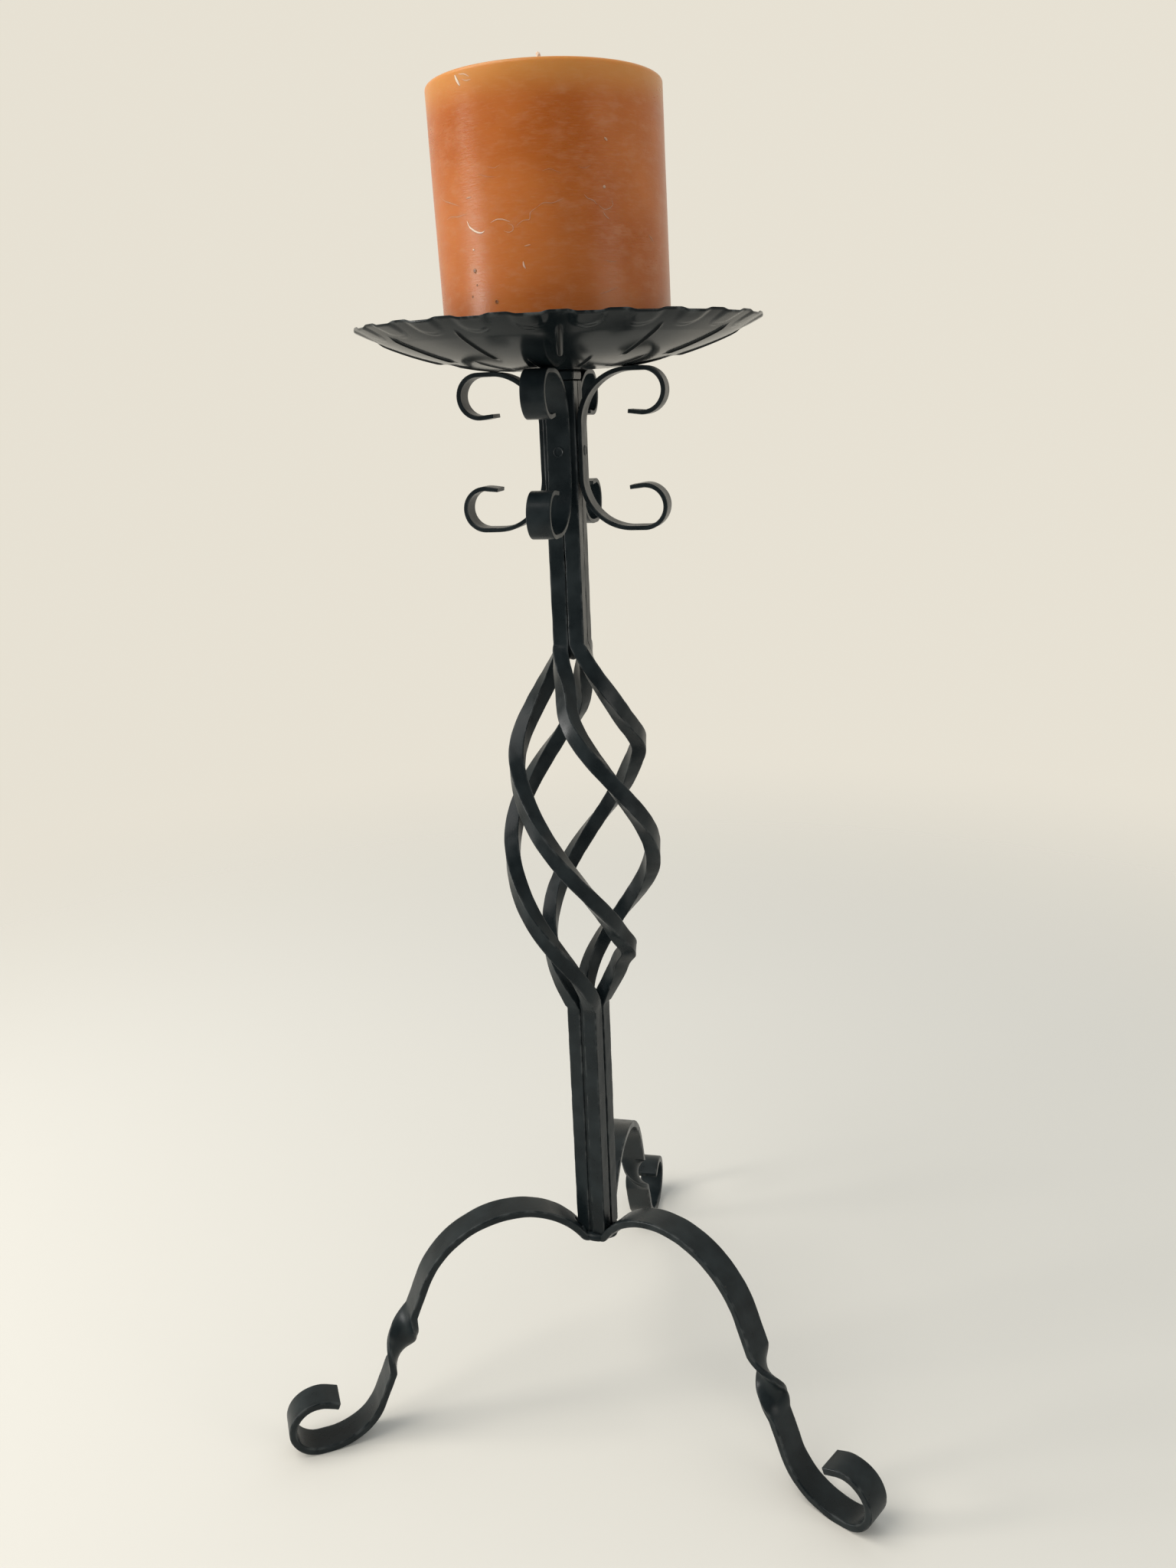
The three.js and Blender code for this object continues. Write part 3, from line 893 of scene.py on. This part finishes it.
def makePlugWeld(side, azimuth, height, seed):
    # A low disc of weld with a ring round it and a dished middle.
    radius, proud = bracket["weldRadius"], bracket["weldProud"]
    share = np.array([0, 0.15, 0.3, 0.45, 0.6, 0.72, 0.8, 0.87, 0.93, 0.97, 1.0])[::-1]
    ring = np.exp(-((share - 0.86) / 0.1) ** 2)
    dome = proud * (0.12 + 0.88 * np.maximum(ring, 0.6 * (1 - smooth(0, 0.6, share))))
    base = upperHalf + post["clearance"]
    face = base + bracket["thickness"]
    profile = np.concatenate([
        [[0.02, base], [radius, base]],
        np.stack([np.maximum(share, 0.01) * radius, face + dome], axis=-1),
    ])
    points, faces = revolve(profile, 40)
    points = points[:, [2, 0, 1]]
    grow = ripple(points, 3.0, seed) * 0.05
    lifted = np.minimum(points[:, 0] + grow, face + proud)
    points[:, 0] = np.where(points[:, 0] > face, lifted, points[:, 0])
    points[:, 2] += height
    addIron("weld_" + side, turnAndPlace(points, azimuth), faces, evenMarks(points, 0.2),
            ["plug_weld_" + side])


makeBrackets()
print("brackets bent and welded")


def makeCap():
    # A rough square of plate with no rubbed edges, kept dark as painted shade under the pan.
    bottom = post["height"] + post["clearance"]
    line = uprightLine(spaced(cap["height"], 0.8, cap["edge"]), bottom)
    points, faces, marks = forge(line, cap["side"], cap["side"], cap["edge"], cap["uneven"], 41)
    # painted shade: the rubbed edges are taken off so the cap stays dark under the pan
    marks["edge"] *= 0
    points[:, 2] = np.clip(points[:, 2], bottom, bottom + cap["height"])
    addIron("forged_post_cap", turnAndPlace(points, post["turn"]), faces, marks, ["post_cap"])


makeCap()


def scallopLift(angle, radius):
    # The rim stands up by the flute's height, but for the scallops: each lies inside an
    # elliptic arc between two crests, where the sheet is pressed back down to the bowl. A low
    # lip runs along the arc.
    phase = (angle * pan["fluteCount"] / (2 * np.pi)) % 1
    across = np.clip((phase - 0.5) / pan["scallopWidth"], -1, 1)
    arc = pan["radius"] - (pan["radius"] - pan["scallopStart"]) * np.sqrt(1 - across ** 2)
    ramp = np.clip((radius - pan["fluteStart"]) / (pan["radius"] - pan["fluteStart"]), 0, 1)
    past, within = radius - arc, 1 - np.abs(across)
    pressed = smooth(-0.5, 2.6, past) * smooth(0, 0.5, within)
    lip = pan["scallopLip"] * np.exp(-(past / 0.55) ** 2) * smooth(0, 0.35, within)
    # the lip's share, returned second, paints a pale highlight along the arc
    return pan["fluteHeight"] * ramp * (1 - pressed) - lip, lip / pan["scallopLip"]


def creaseLift(angle, radius):
    # Creases run out along radii in two rings, those of the inner ring half way between those
    # of the outer one. Each is a round ridge that fades at its ends.
    lift, mark = 0, 0
    for crease in (pan["outerCrease"], pan["innerCrease"]):
        phase = angle * pan["creaseCount"] / (2 * np.pi) - crease["phase"]
        aside = (phase - np.round(phase)) * 2 * np.pi / pan["creaseCount"] * radius
        ends = smooth(0, pan["creaseTaper"], radius - crease["from"])
        ends = ends * smooth(0, pan["creaseTaper"], crease["to"] - radius)
        ridge = np.exp(-(aside / pan["creaseWidth"]) ** 2) * ends
        lift = lift + crease["height"] * ridge
        # the mark darkens each crease with painted shade, and roughens it
        mark = np.maximum(mark, ridge ** 0.55)
    return lift, mark


def makePan():
    # Columns are angles, closer together at the creases; rows are radii. The underside runs out
    # to the rim, round its edge and back in over the top.
    columns = pan["columnsPerCrease"]
    sector = np.pi / pan["creaseCount"]
    share = (np.arange(columns) + 0.5) / columns * 2 - 1
    offset = np.sign(share) * (0.2 * np.abs(share) + 0.8 * np.abs(share) ** 1.8)
    angles = (np.arange(2 * pan["creaseCount"])[:, None] * sector + offset * sector / 2).ravel()
    half = pan["sheet"] / 2
    radii = np.concatenate([
        np.linspace(pan["holeRadius"], pan["seatRadius"], 5)[:-1],
        np.linspace(pan["seatRadius"], pan["fluteStart"], 42)[:-1],
        np.linspace(pan["fluteStart"], pan["radius"] - half, 25),
    ])
    turnAngles = np.linspace(-np.pi / 2, np.pi / 2, 7)[1:-1]
    rimRadii = pan["radius"] - half + half * np.cos(turnAngles)
    rimHeights = 0.5 + 0.5 * np.sin(turnAngles)
    radius = np.concatenate([radii, rimRadii, radii[::-1]])[:, None] + 0 * angles
    thick = np.concatenate([0 * radii, rimHeights, 0 * radii + 1])[:, None] * pan["sheet"]
    angle = angles[None, :] + 0 * radius
    scallop, lip = scallopLift(angle, radius)
    crease, mark = creaseLift(angle, radius)
    flat = np.stack([radius * np.cos(angle), radius * np.sin(angle), 0 * radius], axis=-1)
    dents = pan["uneven"]["height"] * ripple(flat, pan["uneven"]["wave"], 51)
    dents = dents * smooth(pan["seatRadius"], 40, radius) * (1 - smooth(84, pan["radius"], radius))
    flat[..., 2] = panUnderside(radius) + thick + scallop - crease + dents
    points, faces = closedRing(flat)
    # the rim's edge is rubbed; the pale along each scallop's lip is a painted highlight
    edge = np.exp(-(pan["radius"] - radius) / 0.8) + 0.6 * lip
    # crease carries the painted shade along the creases
    marks = {"edge": np.clip(edge, 0, 1).ravel(), "crease": mark.ravel()}
    addPiece("pressed_drip_pan", turnAndPlace(points, post["turn"]), faces, marks, panFinish,
             "stand", ["drip_pan"])


makePan()
print("pan pressed")


spike = {
    "shankRadius": 2.5,
    "collarRadius": 8,
    "collarHeight": 2,
    "rootRadius": 3,
    "tipRadius": 0.5,
    "length": 26,
    "edge": 0.5,
}

collarBottom = panBottom + pan["sheet"] + post["clearance"]
collarTop = collarBottom + spike["collarHeight"]
spikeTop = collarTop + spike["length"]


def roundedEdges(radius, edge, bottom, top, count):
    # a disc's lower and upper edge, as quarter circles
    quarter = np.linspace(0, np.pi / 2, count)
    inwards = radius - edge
    sine, cosine = edge * np.sin(quarter), edge * np.cos(quarter)
    lower = np.stack([inwards + sine, bottom + edge - cosine], axis=-1)
    upper = np.stack([inwards + cosine, top - edge + sine], axis=-1)
    return lower, upper


def makePricket():
    # A shank through the pan, a collar with rounded edges and a tapered spike with a fillet.
    lower, upper = roundedEdges(spike["collarRadius"], spike["edge"], collarBottom, collarTop, 5)
    shank, shankBottom = spike["shankRadius"], post["height"] + post["clearance"]
    share = np.linspace(0, 1, 24)
    taper = lerp(spike["rootRadius"], spike["tipRadius"], share)
    fillet = 0.8 * np.exp(-share * spike["length"] / 0.8)
    needle = np.stack([taper + fillet, collarTop + share * (spike["length"] - 0.4)], axis=-1)
    profile = np.concatenate([
        [[0.02, shankBottom], [shank, shankBottom], [shank, collarBottom]],
        lower,
        upper,
        needle,
        [[0.3, spikeTop - 0.1], [0.02, spikeTop]],
    ])
    points, faces = revolve(profile, 48)
    marks = {"edge": smooth(0.5, 1, points[:, 2] - collarTop) * 0.3, "place": points * 1.0}
    addIron("forged_pricket", turnAndPlace(points, 0), faces, marks, ["pricket_spike"])


makePricket()
print("pricket forged")


candle = {
    "radius": 50,
    "height": 108.5,
    "edge": 1.6,
    "lean": -0.019,        # sideways for each millimetre of height: it stands a little askew
    "columns": 288,
    "boreRadius": 1.5,
    "dish": 0.5,        # the top sinks a little towards the wick
    "uneven": {"height": 0.12, "wave": 38},
    "wickRadius": 1,
    "wickStand": 13,
    "wickLean": -0.12,
    "strands": 3,
    "strandPitch": 5,
}

candleBottom = panUnderside(candle["radius"]) + pan["sheet"] + post["clearance"]
candleTop = candleBottom + candle["height"]

# Burrs scraped up on the wax. Each follows places on the side: an angle round the candle and a
# height above its foot. pale is how much of it has turned white.
scuffs = [
    {"width": 1.1, "pale": 1.0, "line": [(-120.9, 106), (-119.8, 103.9), (-118.2, 101.8)]},
    {"width": 0.45, "pale": 0.6, "line": [(-118.6, 105.9), (-115.1, 105.6), (-112.1, 104.2)]},
    {"width": 0.4, "pale": 0.5, "line": [(-116.7, 103.9), (-114.3, 103.0), (-111.2, 103.1)]},
    {"width": 0.4, "pale": 0.35,
     "line": [(-141, 63.6), (-137, 62.0), (-132.3, 60.9), (-125, 58.9)]},
    {"width": 0.35, "pale": 0.35,
     "line": [(-136.7, 55.0), (-132, 55.7), (-127.4, 55.0), (-120.7, 55.4)]},
    {"width": 0.6, "pale": 0.4, "line": [(-119.9, 61.2), (-116.5, 61.4)]},
    {"width": 0.75, "pale": 1.0,
     "line": [(-120.4, 52.9), (-119.0, 50.3), (-115.5, 48.4), (-112.0, 47.4), (-110, 48.2)]},
    {"width": 0.4, "pale": 0.6,
     "line": [(-106.3, 51.0), (-103.0, 52.0), (-100, 51.8), (-96.4, 50.6)]},
    {"width": 0.3, "pale": 0.4,
     "line": [(-99.8, 47.4), (-97.2, 46.6), (-94.9, 47.4), (-95.2, 49.3), (-97.5, 50.0)]},
    {"width": 0.3, "pale": 0.35,
     "line": [(-93.4, 49.0), (-90, 50.9), (-86.7, 50.7), (-86.9, 53.4), (-83.3, 55.2)]},
    {"width": 0.3, "pale": 0.3,
     "line": [(-83.3, 55.2), (-80.1, 56.9), (-76.4, 56.3), (-71.1, 58.0)]},
    {"width": 0.35, "pale": 0.35,
     "line": [(-61.4, 59.4), (-60.1, 58.0), (-57.1, 57.3), (-55.4, 55.6)]},
    {"width": 0.3, "pale": 0.35,
     "line": [(-54.6, 55.6), (-52.3, 53.9), (-49.3, 54.2), (-46.9, 55.8), (-48.0, 58.0)]},
    {"width": 0.35, "pale": 0.4, "line": [(-52.6, 53.1), (-51.2, 51.4), (-49.4, 50.4)]},
    {"width": 1.2, "pale": 0.5, "line": [(-52.0, 62.1), (-50.6, 62.4)]},
    {"width": 0.9, "pale": 0.45, "line": [(-50.0, 80.2), (-48.6, 79.0)]},
    {"width": 0.45, "pale": 0.4, "line": [(-90.4, 41.2), (-87.4, 41.6)]},
    {"width": 0.7, "pale": 0.7, "line": [(-91.4, 35.6), (-91.2, 34.0), (-90.5, 32.9)]},
    {"width": 0.7, "pale": 1.0, "line": [(-118.0, 41.9), (-117.0, 41.6)]},
    {"width": 0.25, "pale": 0.25, "line": [(-106.0, 71.4), (-102.3, 70.6), (-99.3, 71.6)]},
    {"width": 0.25, "pale": 0.2, "line": [(-111.1, 69.3), (-107.0, 67.9), (-101.8, 67.4)]},
    {"width": 0.25, "pale": 0.2, "line": [(-80.0, 68.2), (-76.4, 68.9), (-71.6, 67.2)]},
    {"width": 0.25, "pale": 0.2, "line": [(-63.5, 69.4), (-60.2, 68.8), (-57.4, 70.0)]},
    {"width": 0.25, "pale": 0.25, "line": [(-53.0, 35.2), (-49.5, 34.6), (-46.4, 34.9)]},
    {"width": 0.3, "pale": 0.25, "line": [(-56.4, 22.4), (-52.7, 23.1), (-46.9, 24.9)]},
]

# Small pits where a bubble broke the surface.
pits = [
    {"at": (-117.7, 33.7), "radius": 0.85},
    {"at": (-106.2, 21.2), "radius": 0.8},
    {"at": (-120.5, 24.0), "radius": 0.4},
    {"at": (-117.0, 28.2), "radius": 0.35},
    {"at": (35.0, 44.0), "radius": 0.8},
    {"at": (121.0, 80.0), "radius": 0.7},
    {"at": (160.0, 19.0), "radius": 0.6},
]

# Burrs on the other sides fall at random.
otherScuffs = {
    "count": 26,
    "angles": (-25, 200),
    "heights": (12, 100),
    "length": (3, 9),
    "width": (0.25, 0.6),
    "pale": (0.15, 0.6),
}


def drawScuffs():        # each runs on in three steps that bend one way
    draw = np.random.default_rng(71)
    made = []
    for _ in range(otherScuffs["count"]):
        angle, height = draw.uniform(*otherScuffs["angles"]), draw.uniform(*otherScuffs["heights"])
        length, heading = draw.uniform(*otherScuffs["length"]), draw.normal(0, 0.6)
        bends = heading + np.array([0, 1, 2]) * draw.normal(0, 0.5)
        steps = np.cumsum(length / 3 * np.stack([np.cos(bends), np.sin(bends)], axis=-1), axis=0)
        steps[:, 0] /= candle["radius"] * degrees
        line = [(angle, height)] + [(angle + along, height + rise) for along, rise in steps]
        width, pale = draw.uniform(*otherScuffs["width"]), draw.uniform(*otherScuffs["pale"])
        made.append({"width": width, "pale": pale, "line": line})
    return made


def onSide(angle, height, out):        # a place on the candle's side, angle in degrees
    radius = candle["radius"] + out
    x, y = radius * np.cos(angle * degrees), radius * np.sin(angle * degrees)
    return np.stack([x, y, candleBottom + height + 0 * angle], axis=-1)


def scuffMesh(scuff):
    # A low burr that tapers to both ends and runs smoothly through its places.
    knots = np.array(scuff["line"]) * [candle["radius"] * degrees, 1]
    along = np.concatenate([[0], np.cumsum(np.linalg.norm(np.diff(knots, axis=0), axis=-1))])
    places = np.linspace(0, along[-1], 21)
    line = np.stack([np.interp(places, along, knots[:, axis]) for axis in (0, 1)], axis=-1)
    for _ in range(3):
        line[1:-1] = (line[:-2] + 2 * line[1:-1] + line[2:]) / 4
    heading = unit(np.gradient(line, axis=0))
    half = scuff["width"] / 2 * np.sin(np.pi * np.linspace(0.03, 0.97, len(line))) ** 0.6
    around = np.linspace(0, 2 * np.pi, 9)[:-1]
    sideways = half[:, None] * np.cos(around)
    outwards = half[:, None] * 0.35 * scuff["pale"] * np.sin(around) + 0.02
    run = line[:, :1] - sideways * heading[:, 1:]
    rise = line[:, 1:] + sideways * heading[:, :1]
    points, faces = closedTube(onSide(run / (candle["radius"] * degrees), rise, outwards))
    marks = {"scuff": np.full(len(points), scuff["pale"]), "pit": np.zeros(len(points))}
    return points, faces, marks


def pitMesh(pit):
    # A dish darkened with painted shade, inside a low ring.
    share = np.array([1.25, 1.1, 0.9, 0.7, 0.4, 0.02])
    height = np.array([-0.15, 0.05, 0.11, 0.03, 0.02, 0.02])
    turn = np.arange(20) * 2 * np.pi / 20
    run = pit["radius"] * share[:, None] * np.cos(turn)
    rise = pit["radius"] * share[:, None] * np.sin(turn)
    angle = pit["at"][0] + run / (candle["radius"] * degrees)
    rings = onSide(angle, pit["at"][1] + rise, height[:, None] + 0 * turn)
    points, faces = closedTube(rings)
    dark = smooth(0.95, 0.6, share)[:, None] + 0 * turn
    return points, faces, {"scuff": 0 * dark.ravel(), "pit": dark.ravel()}


def leaned(points):        # sideways in proportion to the height above the foot
    moved = points.copy()
    moved[:, 0] += candle["lean"] * (points[:, 2] - candleBottom)
    return moved


def makeCandle():
    # The side, the shoulder and the top, with the bore of the wick and the pricket's hole.
    radius, edge = candle["radius"], candle["edge"]
    share = (candleBottom - collarTop) / spike["length"]
    mouth = lerp(spike["rootRadius"], spike["tipRadius"], share) + 1.2
    foot, shoulder = roundedEdges(radius, edge, candleBottom, candleTop, 7)
    base = np.linspace(mouth, radius - edge, 12)[:-1]
    side = np.linspace(candleBottom + edge, candleTop - edge, 62)[1:-1]
    inwards = np.linspace(radius - edge, candle["boreRadius"], 26)[1:]
    sunk = candle["dish"] * (1 - smooth(0, radius, inwards)) * smooth(0, 6, radius - inwards)
    top = np.stack([inwards, candleTop - sunk], axis=-1)
    holeTop = spikeTop + 1.5
    profile = np.concatenate([
        np.stack([base, 0 * base + candleBottom], axis=-1),
        foot,
        np.stack([0 * side + radius, side], axis=-1),
        shoulder,
        top,
        [[candle["boreRadius"], holeTop], [mouth, candleBottom + 18]],
    ])
    rings = turned(profile, candle["columns"])
    wave = candle["uneven"]["height"] * ripple(rings, candle["uneven"]["wave"], 61)
    shrink = 1 - np.maximum(wave, 0) / radius
    rings[..., :2] *= shrink[..., None]
    points, faces = closedRing(rings)
    parts = [(points, faces, {"scuff": np.zeros(len(points)), "pit": np.zeros(len(points))})]
    parts += [scuffMesh(scuff) for scuff in scuffs + drawScuffs()]
    parts += [pitMesh(pit) for pit in pits]
    points, faces, marks = joined(parts)
    addPiece("pillar_candle", turnAndPlace(leaned(points), 0), faces, marks, waxFinish,
             "candle", ["candle_wax"])


makeCandle()
print("candle cast")


def makeWick():
    # Three strands twisted together: the radius waves three times round, and the wave turns as
    # it climbs. The end is cut and a little blunt.
    start, end = spikeTop + 3, candleTop + candle["wickStand"]
    tip = end - 1 + np.array([0.3, 0.6, 0.8, 0.95, 1.0])
    height = np.concatenate([np.linspace(start, end - 1, 200), tip])
    around = np.arange(36) * 2 * np.pi / 36
    turn = around[None, :] - height[:, None] * 2 * np.pi / candle["strandPitch"]
    lobe = np.abs(np.cos(candle["strands"] * turn / 2))
    closing = np.sqrt(np.clip(1 - np.maximum(height - (end - 1), 0) ** 2, 0.02, 1))[:, None]
    radius = candle["wickRadius"] * (0.72 + 0.28 * lobe) * closing
    above = np.maximum(height - candleTop, 0)[:, None]
    lean = candle["wickLean"] * above + candle["lean"] * (height[:, None] - candleBottom)
    rings = np.stack([
        radius * np.cos(around) + lean,
        radius * np.sin(around),
        height[:, None] + 0 * radius,
    ], axis=-1)
    points, faces = closedTube(rings)
    # painted shade where the strands meet
    marks = {"strandShade": (1 - lobe).ravel()}
    addPiece("cotton_wick", turnAndPlace(points, 0), faces, marks, cottonFinish,
             "candle", ["candle_wick"])


makeWick()
print("wick twisted")


camera = {
    "place": (134.4, -622.6, 530.0),
    "heading": 102.57,        # from +X, towards +Y
    "pitch": -16.96,
    "roll": -2.38,
    "focalPixels": 1661,
    "imageHeight": 2048,
    "sensor": 36,
}


def standAt(thing, axes, spot):        # axes point right, up and backwards, spot is in millimetres
    place = Matrix(np.stack(axes, axis=-1).tolist()).to_4x4()
    place.translation = [value * mm for value in spot]
    thing.matrix_world = place
    bpy.context.scene.collection.objects.link(thing)


def makeCamera():
    # Level to the right of the heading first, then rolled about the way it looks.
    heading, pitch, roll = [camera[name] * degrees for name in ("heading", "pitch", "roll")]
    forward = np.array([np.cos(heading), np.sin(heading), 0])
    ahead = np.cos(pitch) * forward + np.array([0, 0, np.sin(pitch)])
    level = np.array([np.sin(heading), -np.cos(heading), 0])
    upright = np.cross(level, ahead)
    right = level * np.cos(roll) + upright * np.sin(roll)
    up = np.cross(right, ahead)
    data = bpy.data.cameras.new("camera")
    data.sensor_width = camera["sensor"]
    data.lens = camera["focalPixels"] / camera["imageHeight"] * camera["sensor"]
    data.clip_start, data.clip_end = 0.01, 100
    eye = bpy.data.objects.new("camera", data)
    standAt(eye, [right, up, -ahead], camera["place"])
    bpy.context.scene.camera = eye


makeCamera()


room = {
    "floorRadius": 3200,
    "floorColour": (0.64, 0.60, 0.525, 1),
    "background": (0.80, 0.755, 0.655, 1),
    "ambient": (0.86, 0.93, 1.0, 1),
    "ambientStrength": 0.77,
    "dimSide": 0.16,        # how strong the room's far side, behind the camera, shows in gloss
    "fadeFrom": 450,
    "fadeTo": 1250,
    "lightsAimAt": 300,        # the height on the stand that every light looks at
}

# Each light looks at the middle of the stand: where it stands, its width, height and power.
lights = {
    "window": {"place": (-1480, -640, 380), "size": (300, 680), "power": 15.5,
               "colour": (1, 0.98, 0.95)},
    "room": {"place": (1480, -650, 430), "size": (700, 600), "power": 4.6,
             "colour": (1, 0.96, 0.90)},
    "ceiling": {"place": (-900, -500, 1800), "size": (1500, 1500), "power": 26,
                "colour": (1, 0.98, 0.95)},
}


def makeFloor():
    # A wide disc that fades into the background with its distance, so no horizon shows.
    radii = np.linspace(1, room["floorRadius"], 24)
    rings = turned(np.stack([radii, 0 * radii], axis=-1), 72)
    rows, columns = rings.shape[:2]
    faces = gridFaces(rows, columns)
    faces.append(list(range(columns))[::-1])
    mesh = bpy.data.meshes.new("floor")
    mesh.from_pydata((rings.reshape(-1, 3) * mm).tolist(), [], faces)
    paint = Finish(bpy.data.materials.new("floor"))
    spot = paint.spot()
    away = paint.node("ShaderNodeVectorMath", {"operation": "LENGTH"}, {0: spot}, output="Value")
    fade = away.band(room["fadeFrom"] * mm, room["fadeTo"] * mm)
    diffuse = paint.node("ShaderNodeBsdfDiffuse", None, {"Color": room["floorColour"]})
    clear = paint.node("ShaderNodeBsdfTransparent")
    both = paint.node("ShaderNodeMixShader", None, {0: fade, 1: diffuse, 2: clear})
    paint.node("ShaderNodeOutputMaterial", None, {"Surface": both})
    mesh.materials.append(paint.owner)
    floor = bpy.data.objects.new("floor", mesh)
    bpy.context.scene.collection.objects.link(floor)


def makeLights():        # rectangles of light, each square to the line from it to the stand
    target = np.array([0, standY, room["lightsAimAt"]])
    for name, light in lights.items():
        data = bpy.data.lights.new(name, "AREA")
        data.shape = "RECTANGLE"
        data.size, data.size_y = [value * mm for value in light["size"]]
        data.energy, data.color = light["power"], light["colour"]
        lamp = bpy.data.objects.new(name, data)
        back = unit(np.array(light["place"]) - target)
        side = unit(np.cross([0, 0, 1], back))
        standAt(lamp, [side, np.cross(back, side), back], light["place"])


def makeWorld():
    # Soft daylight from all round. The camera sees the pale background on every side; in gloss
    # it is pale behind the stand and dim towards the far side of the room.
    sky = Finish(bpy.data.worlds.new("world"))
    ways = sky.node("ShaderNodeTexCoord", output="Generated")
    sides = sky.node("ShaderNodeSeparateXYZ", None, {0: ways}, "Y")
    path = {name: sky.node("ShaderNodeLightPath", output=name)
            for name in ("Is Camera Ray", "Is Glossy Ray", "Is Transmission Ray")}
    direct = path["Is Camera Ray"].most(path["Is Transmission Ray"])
    strength = direct.most(room["dimSide"] + (1 - room["dimSide"]) * sides.band(-0.7, 0.35))
    daylight = sky.node("ShaderNodeBackground", None, {
        "Color": room["ambient"], "Strength": room["ambientStrength"],
    })
    backdrop = sky.node("ShaderNodeBackground", None, {
        "Color": room["background"], "Strength": strength,
    })
    both = sky.node("ShaderNodeMixShader", None, {
        0: direct.most(path["Is Glossy Ray"]), 1: daylight, 2: backdrop,
    })
    sky.node("ShaderNodeOutputWorld", None, {"Surface": both})
    bpy.context.scene.world = sky.owner


makeFloor()
makeLights()
makeWorld()
bpy.context.scene.view_settings.view_transform = "Standard"
print("stage, lights and camera set")
